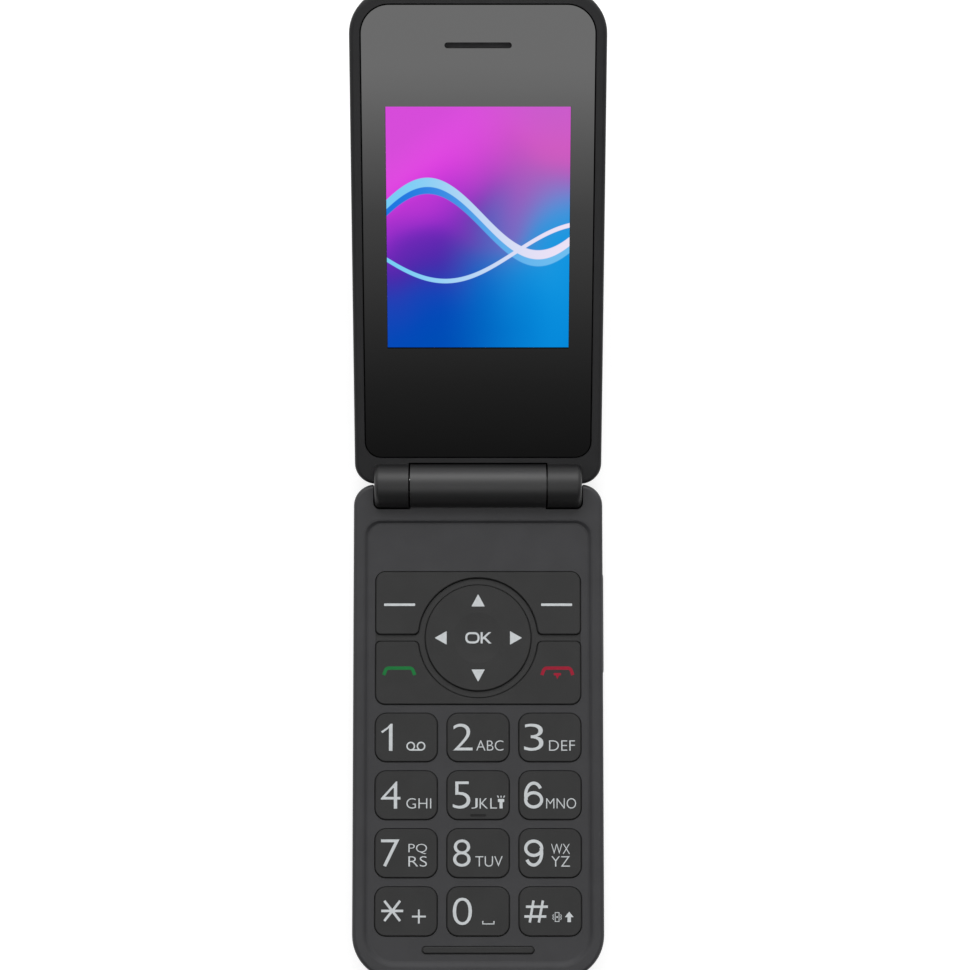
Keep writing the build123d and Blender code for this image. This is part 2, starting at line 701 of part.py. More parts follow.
def make_base_screws():
    screws = Part()
    head_z = COVER_SEAM_Z + 0.7
    for x, y in BASE_SCREWS:
        screws += post(x, y, SCREW_HEAD_R, head_z, head_z + SCREW_HEAD_T)
        screws += boss(x, y, SCREW_R, head_z + SCREW_HEAD_T / 2, DECK_Z - 0.4)
    return screws


def make_lid_strip():
    """Soft strip at the chin that takes the lid when it shuts."""
    strip = slab(strip_outline(-STRIP_CLEAR), FIELD_Z - 0.5, FIELD_Z + 0.4)
    return chamfer(strip.edges().group_by(Axis.Z)[-1], 0.25)


# Lid


def lid_envelope():
    body = slab(
        outline(LID_HALF_W, LID_SHORT_OF_AXIS, LID_REACH, HINGE_CORNER_R, TIP_CORNER_R),
        LID_BACK,
        LID_IN,
    )
    body = fillet(body.edges().group_by(Axis.Z)[0], BACK_EDGE_R)
    return fillet(body.edges().group_by(Axis.Z)[-1], RIM_EDGE_R)


def lid_cavity(z_low, z_high):
    sketch = outline(
        LID_HALF_W - WALL, LID_CAVITY_START, LID_REACH - WALL, 2.0, TIP_CORNER_R - WALL
    )
    return slab(sketch, z_low, z_high)


def window_outline(grow=0.0):
    return outline(
        LID_HALF_W - WINDOW_BORDER + grow,
        WINDOW_START - grow,
        LID_REACH - WINDOW_TO_TIP + grow,
        WINDOW_HINGE_R + grow,
        WINDOW_TIP_R + grow,
    )


def display_outline(grow=0.0):
    return Pos(0, DISPLAY_START + DISPLAY_L / 2) * RectangleRounded(
        DISPLAY_W + 2 * grow, DISPLAY_L + 2 * grow, 0.8
    )


def ear_slot(grow=0.0):
    return Pos(0, EAR_S) * SlotOverall(EAR_SLOT_W + 2 * grow, EAR_SLOT_H + 2 * grow)


def make_lid_front_frame():
    frame = lid_envelope() & block(-WIDTH, WIDTH, -REACH, 2 * REACH, SPLIT_Z, 1)
    frame -= rod(-END_IN, END_IN, BARREL_R + KNUCKLE_GAP, 0, 0)
    for sx in (-1, 1):
        x_low, x_high = sorted((sx * END_IN, sx * END_OUT))
        frame += rounded_rod(x_low, x_high, BARREL_R, KNUCKLE_EDGE_R, 0, 0)
    frame -= lid_cavity(SPLIT_Z - 1, SHELF_UNDER)
    frame -= slab(window_outline(), SHELF_TOP, 1)
    frame -= slab(display_outline(SEAM), SHELF_UNDER - 1, 0)
    frame -= slab(ear_slot(0.3), SHELF_UNDER - 1, 0)
    frame -= slab(ear_slot(0.6), SHELF_TOP - 0.25, 0)
    frame -= rod(END_IN - 1, END_BORE_OUT, KNUCKLE_BORE_R, 0, 0)
    frame -= hex_bar(-END_BORE_OUT, -END_IN + 1, HEAD_FLATS_R + RUNNING_GAP)
    frame -= block(
        FLEX_SPLIT_X - 0.3, END_BORE_OUT - 0.2, 1.5, LID_CAVITY_START + 1, -3.6, -2.5
    )
    for x, s in LID_SCREWS:
        frame -= boss(x, s, SCREW_R + SEAM, SHELF_UNDER - 1, 0)
        frame -= boss(x, s, SCREW_HEAD_R + SEAM, SHELF_TOP - SCREW_HEAD_T + 0.1, 0)
    return frame


def hex_bar(x_low, x_high, flats_r):
    """A six-sided bar along X, on the lid's hinge axis."""
    section = RegularPolygon(flats_r, 6, major_radius=False)
    return Plane.YZ.offset(x_low).location * extrude(section, x_high - x_low)


def make_lid_window():
    window = slab(window_outline(-SEAM), LID_IN - WINDOW_T - SEAM / 2, LID_IN - SEAM / 2)
    window = chamfer(window.edges().group_by(Axis.Z)[-1], 0.2)
    return window - slab(ear_slot(), -3, 1)


def make_earpiece_mesh():
    return slab(ear_slot(0.5), SHELF_TOP - 0.2, SHELF_TOP - RUNNING_GAP)


def make_earpiece():
    body = Pos(0, EAR_S) * RectangleRounded(EAR_W, EAR_H, 1.5)
    capsule = slab(body, SHELF_UNDER - 2.2, SHELF_UNDER - RUNNING_GAP)
    return capsule - slab(ear_slot(), SHELF_UNDER - 0.4, 0)


def make_display_module():
    module = slab(display_outline(), DISPLAY_TOP - DISPLAY_T, DISPLAY_TOP)
    view = Pos(0, VIEW_START + VIEW_L / 2) * Rectangle(VIEW_W, VIEW_L)
    return module - slab(view, DISPLAY_TOP - 0.15, 0)


def make_lid_rear_housing():
    shell = lid_envelope() & block(-WIDTH, WIDTH, -REACH, 2 * REACH, LID_BACK - 1, SPLIT_Z)
    shell -= rod(-END_IN, END_IN, BARREL_R + KNUCKLE_GAP, 0, 0)
    shell -= rod(-END_OUT - KNUCKLE_GAP, END_OUT + KNUCKLE_GAP, BARREL_R + SEAM, 0, 0)
    shell -= lid_cavity(SKIN_Z, SPLIT_Z + 1)
    for x, s in LID_SCREWS:
        shell += boss(x, s, BOSS_R, SKIN_Z - 0.3, SHELF_UNDER - SEAM)
        shell -= boss(x, s, SCREW_R + RUNNING_GAP, SKIN_Z + 0.2, 0)
    shell -= slab(outer_window_outline(), LID_BACK - 1, LID_BACK + 0.9)
    shell -= slab(outer_display_outline(0.3), LID_BACK - 1, SKIN_Z + 1)
    shell -= post(0, CAMERA_S, CAMERA_LENS_R + SEAM, LID_BACK - 1, LID_BACK + 0.9)
    shell -= post(0, CAMERA_S, CAMERA_LENS_R - 0.8, LID_BACK - 1, SKIN_Z + 1)
    shell -= post(FLASH_X, CAMERA_S, FLASH_R + SEAM / 2, LID_BACK - 1, SKIN_Z + 1)
    return shell


def outer_window_outline(grow=0.0):
    return Pos(0, OUTER_WINDOW_START + OUTER_WINDOW_L / 2) * RectangleRounded(
        OUTER_WINDOW_W + 2 * grow, OUTER_WINDOW_L + 2 * grow, 3.0 + grow
    )


def outer_display_outline(grow=0.0):
    return Pos(0, OUTER_WINDOW_START + OUTER_WINDOW_L / 2) * Rectangle(
        OUTER_DISPLAY_W + 2 * grow, OUTER_DISPLAY_L + 2 * grow
    )


def make_outer_window():
    window = slab(outer_window_outline(-SEAM), LID_BACK + 0.05, LID_BACK + 0.85)
    return chamfer(window.edges().group_by(Axis.Z)[0], 0.2)


def make_outer_display():
    low = LID_BACK + 0.95
    return slab(outer_display_outline(), low, low + OUTER_DISPLAY_T)


def make_camera():
    top = LID_BOARD_TOP
    half = CAMERA_BODY / 2
    body = block(-half, half, CAMERA_S - half, CAMERA_S + half, SKIN_Z + 1.6, top)
    return body + post(0, CAMERA_S, CAMERA_LENS_R - 0.9, SKIN_Z - 0.2, SKIN_Z + 2)


def make_camera_lens():
    """Glass disc with a raised ring round it."""
    lens = post(0, CAMERA_S, CAMERA_LENS_R, LID_BACK - 0.2, LID_BACK + 0.85)
    lens = chamfer(lens.edges().group_by(Axis.Z)[0], 0.3)
    return lens - post(0, CAMERA_S, CAMERA_LENS_R - 0.9, LID_BACK - 1, LID_BACK + 0.15)


def make_flash_lens():
    return post(FLASH_X, CAMERA_S, FLASH_R, LID_BACK + 0.05, SKIN_Z + 0.6)


def make_lid_board():
    low, high = CAMERA_S + CAMERA_BODY / 2 + 0.6, EAR_S - EAR_H / 2 - 0.6
    half = LID_HALF_W - 4.5
    board = block(-half, half, low, high, LID_BOARD_Z, LID_BOARD_TOP)
    board += block(
        FLASH_X - 2, FLASH_X + 2, CAMERA_S - 2, low + 0.5, LID_BOARD_Z, LID_BOARD_TOP
    )
    return board + block(
        FLEX_SPLIT_X, END_BORE_OUT - 0.5, low + 0.5, low + 3.5, LID_BOARD_TOP - 0.1, -3.15
    )


def make_lid_magnet():
    return block(
        9.0, 15.0, LID_REACH - 6.6, LID_REACH - 3.6, SHELF_UNDER - 1.6, SHELF_UNDER - RUNNING_GAP
    )


def make_lid_screws():
    screws = Part()
    for x, s in LID_SCREWS:
        top = SHELF_TOP - RUNNING_GAP
        screws += post(x, s, SCREW_HEAD_R, top - SCREW_HEAD_T + 0.15, top)
        screws += boss(x, s, SCREW_R, SKIN_Z + 0.5, top - 0.2)
    return screws


# Hinge


def make_hinge_case():
    """Cartridge tube with an end wall at each end."""
    case = rod(-CENTRE_HALF, -1.0, KNUCKLE_BORE_R - RUNNING_GAP)
    case -= rod(-CENTRE_HALF + 0.8, -1.8, KNUCKLE_BORE_R - 0.9)
    return case - rod(-CENTRE_HALF - 1, 0, SHAFT_R + RUNNING_GAP)


def make_hinge_shaft():
    """Shaft with a six-sided head that drives it from the lid's knuckle."""
    head = hex_bar(-END_BORE_OUT + 0.1, -END_IN - 0.2, HEAD_FLATS_R)
    return head + rod(-END_IN - 0.3, -1.1, SHAFT_R, 0, 0)


def cam_ring(x_low, x_high, lobe_side, lobe_height):
    """Ring on the shaft with two opposite lobes on one face."""
    outer, inner = KNUCKLE_BORE_R - 1.0, SHAFT_R + RUNNING_GAP
    ring = rod(x_low, x_high, outer, 0, 0)
    x = x_high if lobe_side > 0 else x_low
    lobes = rod(*sorted((x - lobe_side * 0.2, x + lobe_side * lobe_height)), outer, 0, 0)
    lobes &= block(-2 * WIDTH, 2 * WIDTH, -0.8, 0.8, -BARREL_R, BARREL_R)
    return ring + lobes - rod(-WIDTH, WIDTH, inner, 0, 0)


def make_hinge_cam():
    return cam_ring(-CENTRE_HALF + 0.9, -CENTRE_HALF + 2.2, 1, 0.5)


def make_hinge_follower():
    """Sprung ring whose two notches face the cam's lobes."""
    x_low, x_high = -CENTRE_HALF + 2.8, -CENTRE_HALF + 4.8
    outer, inner = KNUCKLE_BORE_R - 1.0, SHAFT_R + RUNNING_GAP
    ring = rod(x_low, x_high, outer) - rod(x_low - 1, x_high + 1, inner)
    tilt = Pos(0, AXIS_Y, AXIS_Z) * Rot(180 - OPEN_ANGLE, 0, 0)
    return ring - tilt * block(x_low - 1, x_low + 0.6, -1.0, 1.0, -BARREL_R, BARREL_R)


def make_hinge_spring():
    """Coil of square wire between the follower and the case's end wall."""
    x_low, x_high = -CENTRE_HALF + 4.9 + SPRING_WIRE / 2, -1.9 - SPRING_WIRE / 2
    length = x_high - x_low
    path = Helix(length / SPRING_TURNS, length, SPRING_R)
    section = Plane(origin=path @ 0, z_dir=path % 0) * Rectangle(SPRING_WIRE, SPRING_WIRE)
    coil = sweep(section, path=path)
    return Pos(x_low, AXIS_Y, AXIS_Z) * Rot(0, 90, 0) * coil


def make_hinge_bush():
    """Hollow bush that the lid turns on; the flat cable runs through it."""
    outer = KNUCKLE_BORE_R - RUNNING_GAP
    x_low, x_high = CENTRE_HALF - 2.2, FLEX_SPLIT_X - 0.4
    return rod(x_low, x_high, outer) - rod(x_low - 1, x_high + 1, outer - BUSH_WALL)


def flex_roll(x_low, x_high, y, z):
    """The rolled stretch of the flat cable."""
    core = rod(x_low - 1, x_high + 1, FLEX_ROLL_R - FLEX_T, y, z)
    return rod(x_low, x_high, FLEX_ROLL_R, y, z) - core


def make_hinge_flex():
    roll = flex_roll(8.0, FLEX_SPLIT_X - 0.1, AXIS_Y, AXIS_Z)
    edge_y = AXIS_Y - FLEX_ROLL_R
    low = DECK_Z - 1.0
    drop = block(8.0, 12.0, edge_y, edge_y + FLEX_T, low, AXIS_Z)
    run = block(8.0, 12.0, CAVITY_END_Y - 4.4, edge_y + FLEX_T, low, low + FLEX_T)
    return roll + drop + run


def make_lid_flex():
    x_low, x_high = FLEX_SPLIT_X + 0.1, END_BORE_OUT - 1.1
    roll = flex_roll(x_low, x_high, 0, 0)
    drop = block(x_low, x_high, FLEX_ROLL_R - FLEX_T, FLEX_ROLL_R, -3.15, 0)
    end_s = CAMERA_S + CAMERA_BODY / 2 + 4.0
    run = block(x_low, x_high, FLEX_ROLL_R - FLEX_T, end_s, -3.15, -3.15 + FLEX_T)
    return roll + drop + run


def make_parts():
    parts = {
        "base_front_housing": make_base_front_housing(),
        "base_rear_housing": make_base_rear_housing(),
        "battery_cover": make_battery_cover(),
        "battery": make_battery(),
        "battery_connector": make_battery_connector(),
        "main_board": make_main_board(),
        "dome_sheet": make_dome_sheet(),
        "keypad_mat": make_keypad_mat(),
        "soft_keys": make_arch(1),
        "call_end_keys": make_arch(-1),
        "nav_key": make_nav_key(),
        "nav_pad": make_nav_pad(),
        "nav_plunger": make_nav_plunger(),
        "side_key": make_side_key(),
        "side_switches": make_side_switches(),
        "usb_socket": make_usb_socket(),
        "headphone_socket": make_headphone_socket(),
        "loudspeaker": make_loudspeaker(),
        "vibration_motor": make_vibration_motor(),
        "card_holder": make_card_holder(),
        "microphone": make_microphone(),
        "antenna": make_antenna(),
        "base_screws": make_base_screws(),
        "lid_strip": make_lid_strip(),
        "hinge_case": make_hinge_case(),
        "hinge_follower": make_hinge_follower(),
        "hinge_spring": make_hinge_spring(),
        "hinge_bush": make_hinge_bush(),
        "hinge_flex": make_hinge_flex(),
        "hinge_shaft": in_lid(make_hinge_shaft()),
        "hinge_cam": in_lid(make_hinge_cam()),
        "lid_flex": in_lid(make_lid_flex()),
        "lid_front_frame": in_lid(make_lid_front_frame()),
        "lid_window": in_lid(make_lid_window()),
        "earpiece_mesh": in_lid(make_earpiece_mesh()),
        "earpiece": in_lid(make_earpiece()),
        "display_module": in_lid(make_display_module()),
        "lid_rear_housing": in_lid(make_lid_rear_housing()),
        "outer_window": in_lid(make_outer_window()),
        "outer_display": in_lid(make_outer_display()),
        "camera": in_lid(make_camera()),
        "camera_lens": in_lid(make_camera_lens()),
        "flash_lens": in_lid(make_flash_lens()),
        "lid_board": in_lid(make_lid_board()),
        "lid_magnet": in_lid(make_lid_magnet()),
        "lid_screws": in_lid(make_lid_screws()),
    }
    for name, (x, y) in key_places().items():
        parts[f"key_{name}"] = make_key(name, x, y)
    return parts


os.makedirs("parts", exist_ok=True)
for node, piece in make_parts().items():
    export_step(piece, f"parts/{node}.step")
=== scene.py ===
from math import cos, pi, radians, sin

import bpy
from mathutils import Matrix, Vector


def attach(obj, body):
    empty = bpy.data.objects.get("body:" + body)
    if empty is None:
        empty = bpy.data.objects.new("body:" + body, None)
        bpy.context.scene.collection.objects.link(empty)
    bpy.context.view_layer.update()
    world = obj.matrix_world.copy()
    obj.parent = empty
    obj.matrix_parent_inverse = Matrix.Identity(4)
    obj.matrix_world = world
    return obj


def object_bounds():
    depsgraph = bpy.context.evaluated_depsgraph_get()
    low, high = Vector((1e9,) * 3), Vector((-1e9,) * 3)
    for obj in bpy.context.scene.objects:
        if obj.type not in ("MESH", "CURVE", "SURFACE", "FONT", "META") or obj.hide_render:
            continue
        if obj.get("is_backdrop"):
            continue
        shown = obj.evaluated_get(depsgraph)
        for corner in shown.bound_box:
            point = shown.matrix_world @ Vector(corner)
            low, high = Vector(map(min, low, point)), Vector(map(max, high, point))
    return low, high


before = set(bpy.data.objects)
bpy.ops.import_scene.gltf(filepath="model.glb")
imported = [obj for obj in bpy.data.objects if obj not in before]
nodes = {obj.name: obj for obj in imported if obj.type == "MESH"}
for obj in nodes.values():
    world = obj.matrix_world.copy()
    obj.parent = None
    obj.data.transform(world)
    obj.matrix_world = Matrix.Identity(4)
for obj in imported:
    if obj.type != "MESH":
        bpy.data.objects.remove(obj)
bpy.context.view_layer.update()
bpy.ops.object.select_all(action="DESELECT")

# Sizes in millimetres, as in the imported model
MM = 0.001
AXIS_Y = 50.65
AXIS_Z = 10.5
LID_TILT = radians(20)
KEY_TOP = 10.05
PRINT_RISE = 0.02
PRINT_SUNK = 0.04
KEY_COLUMNS = (-14.8, 0.0, 14.8)
KEY_ROWS = (-1.41, -13.24, -25.06, -36.89)
NAV_Y = 19.1

WINDOW_HALF = 23.4
WINDOW_START = 5.95
WINDOW_END = 98.3
VIEW_HALF = 18.55
VIEW_START = 29.05
VIEW_END = 78.2
VIEW_MIDDLE = (VIEW_START + VIEW_END) / 2
EAR_S = 90.25
EAR_HALF = 6.67
EAR_HALF_H = 0.57
EAR_ROUND = 0.56
BARREL_EDGE = 4.62
BARREL_HALF = 21.5
RING_HALF = 14.0
RING_TOP = 9.5
PIP_FOOT = KEY_TOP + 0.03
LENS_S = 15.5
LENS_Z = -8.5
LENS_RADIUS = 3.6

LID = Matrix.Translation((0, AXIS_Y * MM, AXIS_Z * MM)) @ Matrix.Rotation(LID_TILT, 4, "X")


# Camera, at the photograph's angle

CAMERA_TILT = radians(4.94)
CAMERA_REACH = 0.49056
camera_data = bpy.data.cameras.new("camera")
camera_data.lens = 87.59
camera_data.sensor_width = 36
camera_data.shift_x = 0.0071
camera_data.shift_y = 0.0008
camera = bpy.data.objects.new("camera", camera_data)
camera.location = (
    0,
    AXIS_Y * MM - CAMERA_REACH * sin(CAMERA_TILT),
    AXIS_Z * MM + CAMERA_REACH * cos(CAMERA_TILT),
)
camera.rotation_euler = (CAMERA_TILT, 0, 0)
bpy.context.scene.collection.objects.link(camera)
bpy.context.scene.camera = camera
bpy.context.scene.view_settings.view_transform = "Standard"


# Colours and shader building


def tint(red, green, blue):
    """A colour written as on a paint card, 0 to 255 a channel, for a shader."""
    shares = (c / 255 for c in (red, green, blue))
    return (*(s / 12.92 if s <= 0.04045 else ((s + 0.055) / 1.055) ** 2.4 for s in shares), 1)


def shade(colour, share):
    """The same colour, lighter or darker."""
    return (*(c * share for c in colour[:3]), 1)


def add_node(tree, kind, sockets=(), **settings):
    """A shader node with its settings, and its input sockets linked or given a value."""
    made = tree.nodes.new(kind)
    for name, value in settings.items():
        setattr(made, name, value)
    for name, value in dict(sockets).items():
        if isinstance(value, bpy.types.NodeSocket):
            tree.links.new(value, made.inputs[name])
        else:
            made.inputs[name].default_value = value
    return made


def calc(tree, operation, first, second=0.0, third=0.0, clamp=False):
    """One step of arithmetic in a shader."""
    step = add_node(
        tree,
        "ShaderNodeMath",
        {0: first, 1: second, 2: third},
        operation=operation,
        use_clamp=clamp,
    )
    return step.outputs[0]


def ramp(tree, fac, stops, mode="EASE"):
    """Colour ramp with stops of (place, colour)."""
    made = add_node(tree, "ShaderNodeValToRGB", {"Fac": fac})
    made.color_ramp.interpolation = mode
    elements = made.color_ramp.elements
    elements[-1].position, elements[-1].color = stops[-1]
    elements[0].position, elements[0].color = stops[0]
    for place, colour in stops[1:-1]:
        elements.new(place).color = colour
    return made.outputs["Color"]


def blend_colours(tree, share, first, second):
    """The first colour where the share is 0, going over to the second where it is 1."""
    sockets = {0: share, 6: first, 7: second}
    return add_node(tree, "ShaderNodeMix", sockets, data_type="RGBA").outputs[2]


def ease_between(tree, value, start, end):
    """0 on the start's side, 1 on the end's side, and an even curve between them."""
    sockets = {"Value": value, "From Min": start, "From Max": end}
    made = add_node(tree, "ShaderNodeMapRange", sockets, interpolation_type="SMOOTHSTEP")
    return made.outputs["Result"]


def new_material(name):
    material = bpy.data.materials.new(name)
    material.use_nodes = True
    tree = material.node_tree
    return material, tree, tree.nodes["Principled BSDF"]


def object_coords(tree):
    return add_node(tree, "ShaderNodeTexCoord").outputs["Object"]


def axes_of(tree, coords):
    """A place's three parts, under the names X, Y and Z."""
    return add_node(tree, "ShaderNodeSeparateXYZ", {"Vector": coords}).outputs


def lid_axes(tree, along_mm, depth_mm=0.0):
    """Places measured in the lid's own frame, from a point on the lid's middle line."""
    start = LID @ Matrix.Translation((0, along_mm * MM, depth_mm * MM))
    sockets = {
        "Vector": object_coords(tree),
        "Location": start.translation,
        "Rotation": (LID_TILT, 0, 0),
    }
    turned = add_node(tree, "ShaderNodeMapping", sockets, vector_type="TEXTURE")
    return axes_of(tree, turned.outputs["Vector"])


def noise(tree, coords, grain_mm):
    """Noise whose features are about this many millimetres across."""
    sockets = {"Vector": coords, "Scale": 1 / (grain_mm * MM), "Detail": 2.0}
    return add_node(tree, "ShaderNodeTexNoise", sockets).outputs["Fac"]


def add_bump(tree, shader, height, depth_mm, strength):
    sockets = {"Height": height, "Distance": depth_mm * MM, "Strength": strength}
    bump = add_node(tree, "ShaderNodeBump", sockets)
    tree.links.new(bump.outputs["Normal"], shader.inputs["Normal"])


def mix_surface(tree, share, first, second):
    """Shows the first shader where the share is 0 and the second where it is 1."""
    sockets = {0: share, 1: first.outputs[0], 2: second.outputs[0]}
    both = add_node(tree, "ShaderNodeMixShader", sockets)
    tree.links.new(both.outputs[0], tree.nodes["Material Output"].inputs["Surface"])


def below(tree, value, limit_mm):
    """1 where a length is less than this many millimetres."""
    return calc(tree, "LESS_THAN", value, limit_mm * MM)


def barrel_share(tree, coords):
    """1 on the round hinge barrel, 0 on the rest of a housing."""
    axes = axes_of(tree, coords)
    across = calc(tree, "SUBTRACT", axes["Y"], AXIS_Y * MM)
    up = calc(tree, "SUBTRACT", axes["Z"], AXIS_Z * MM)
    square = calc(tree, "MULTIPLY_ADD", up, up, calc(tree, "MULTIPLY", across, across))
    near = below(tree, calc(tree, "SQRT", square), BARREL_EDGE)
    inside = below(tree, calc(tree, "ABSOLUTE", axes["X"]), BARREL_HALF)
    return calc(tree, "MULTIPLY", near, inside)


def ring_painted_shade_share(tree, coords):
    """1 on the sunken ring between the round key and the keys about it, where the shell is painted
    darker as shade; 0 elsewhere.
    """
    axes = axes_of(tree, coords)
    across = below(tree, calc(tree, "ABSOLUTE", axes["X"]), BARREL_HALF)
    from_nav = calc(tree, "SUBTRACT", axes["Y"], NAV_Y * MM)
    along = below(tree, calc(tree, "ABSOLUTE", from_nav), RING_HALF)
    low = below(tree, axes["Z"], RING_TOP)
    return calc(tree, "MULTIPLY", low, calc(tree, "MULTIPLY", across, along))


def pip_painted_shade_share(tree, coords):
    """1 on the raised mark of the middle key, which is painted near black as its shade; 0 on the key
    tops.
    """
    axes = axes_of(tree, coords)
    return calc(tree, "GREATER_THAN", axes["Z"], PIP_FOOT * MM)


INK_COLOUR = tint(4, 4, 4)
HAZE_GRAIN = 12.0
MOTTLE = 0.07
MOTTLE_GRAIN = 6.0
GLOSS_SPREAD = 0.08
COAT_ROUGHNESS = 0.52


def moulded(
    name, colour, roughness, grain_mm=0.14, depth_mm=0.01, metal=0.0, shine=0.5, zones=()
):
    """Moulded, cast or pressed surface: slow mottling, fine grain and uneven gloss.

    Each zone is a share of the surface with a colour and a clear coat of its own.
    """
    material, tree, shader = new_material(name)
    coords = object_coords(tree)
    slow = noise(tree, coords, MOTTLE_GRAIN)
    fine = noise(tree, coords, grain_mm)
    mottles = [(0.3, shade(colour, 1 - MOTTLE)), (0.7, shade(colour, 1 + MOTTLE))]
    colours = ramp(tree, slow, mottles)
    for zone, zone_colour, coat in zones:
        share = zone(tree, coords)
        colours = blend_colours(tree, share, colours, zone_colour)
        if coat:
            tree.links.new(calc(tree, "MULTIPLY", share, coat), shader.inputs["Coat Weight"])
            shader.inputs["Coat Roughness"].default_value = COAT_ROUGHNESS
    tree.links.new(colours, shader.inputs["Base Color"])
    gloss = calc(tree, "MULTIPLY_ADD", slow, GLOSS_SPREAD, roughness - GLOSS_SPREAD / 2)
    tree.links.new(gloss, shader.inputs["Roughness"])
    shader.inputs["Metallic"].default_value = metal
    shader.inputs["Specular IOR Level"].default_value = shine
    add_bump(tree, shader, fine, depth_mm, 0.5)
    return material


def add_haze(tree, shader, roughness, spread):
    """A gloss that is a little duller in some patches than in others."""
    patches = noise(tree, object_coords(tree), HAZE_GRAIN)
    uneven = calc(tree, "MULTIPLY_ADD", patches, spread, roughness)
    tree.links.new(uneven, shader.inputs["Roughness"])


def clear(name, colour, roughness):
    """Clear moulded plastic or glass, with a faint haze."""
    material, tree, shader = new_material(name)
    shader.inputs["Base Color"].default_value = colour
    shader.inputs["Transmission Weight"].default_value = 1
    shader.inputs["IOR"].default_value = 1.5
    add_haze(tree, shader, roughness, 0.02)
    return material


def window_glass(name):
    """The front window: glossy and dark where its back is inked, clear over the lit view."""
    material, tree, glossy = new_material(name)
    glossy.inputs["Base Color"].default_value = INK_COLOUR
    add_haze(tree, glossy, 0.012, 0.01)
    axes = lid_axes(tree, VIEW_MIDDLE)
    across = below(tree, calc(tree, "ABSOLUTE", axes["X"]), VIEW_HALF)
    along = below(tree, calc(tree, "ABSOLUTE", axes["Y"]), VIEW_END - VIEW_MIDDLE)
    open_view = add_node(tree, "ShaderNodeBsdfTransparent")
    mix_surface(tree, calc(tree, "MULTIPLY", across, along), glossy, open_view)
    return material


def woven(name, colour, pitch_mm):
    """Fine woven wire mesh, as over a sound outlet."""
    material, tree, shader = new_material(name)
    coords = object_coords(tree)
    axes = axes_of(tree, coords)
    turns = 2 * pi / (pitch_mm * MM)
    across = calc(tree, "SINE", calc(tree, "MULTIPLY", axes["X"], turns))
    along = calc(tree, "SINE", calc(tree, "MULTIPLY", axes["Y"], turns))
    weave = calc(tree, "MULTIPLY_ADD", calc(tree, "MULTIPLY", across, along), 0.5, 0.5)
    colours = ramp(tree, weave, [(0.2, shade(colour, 0.35)), (0.8, colour)])
    tree.links.new(colours, shader.inputs["Base Color"])
    shader.inputs["Roughness"].default_value = 0.5
    add_bump(tree, shader, weave, 0.05, 0.8)
    return material


def printed(name, colour, shine=0.5):
    """Opaque print on a key or behind the window: slightly uneven ink."""
    material, tree, shader = new_material(name)
    density = noise(tree, object_coords(tree), 0.8)
    inks = ramp(tree, density, [(0.3, shade(colour, 0.95)), (0.7, shade(colour, 1.03))])
    tree.links.new(inks, shader.inputs["Base Color"])
    shader.inputs["Roughness"].default_value = 0.55
    shader.inputs["Specular IOR Level"].default_value = shine
    return material


TRACKS_PER_METRE = 700.0


def circuit(name):
    """Green board with copper tracks under its lacquer."""
    material, tree, shader = new_material(name)
    coords = object_coords(tree)
    sockets = {"Vector": coords, "Scale": TRACKS_PER_METRE}
    cells = add_node(tree, "ShaderNodeTexVoronoi", sockets, distance="MANHATTAN")
    tracks = calc(tree, "LESS_THAN", cells.outputs["Distance"], 0.28)
    colours = blend_colours(tree, tracks, tint(18, 62, 38), tint(60, 105, 55))
    tree.links.new(colours, shader.inputs["Base Color"])
    shader.inputs["Roughness"].default_value = 0.35
    return material


def lens_glass(name):
    """Camera front: dark rings round a violet-coated centre."""
    material, tree, shader = new_material(name)
    axes = lid_axes(tree, LENS_S, LENS_Z)
    flat = add_node(tree, "ShaderNodeCombineXYZ", {"X": axes["X"], "Y": axes["Y"]})
    length = add_node(tree, "ShaderNodeVectorMath", {0: flat.outputs["Vector"]}, operation="LENGTH")
    radius = calc(tree, "MULTIPLY", length.outputs["Value"], 1 / (LENS_RADIUS * MM))
    rings = ramp(
        tree,
        radius,
        [
            (0.0, tint(60, 45, 120)),
            (0.2, tint(25, 25, 70)),
            (0.3, tint(8, 8, 14)),
            (0.5, tint(30, 30, 34)),
            (0.56, tint(10, 10, 12)),
            (0.74, tint(16, 16, 18)),
            (0.78, tint(70, 70, 74)),
        ],
    )
    tree.links.new(rings, shader.inputs["Base Color"])
    shader.inputs["Roughness"].default_value = 0.08
    shader.inputs["Coat Weight"].default_value = 0.6
    return material


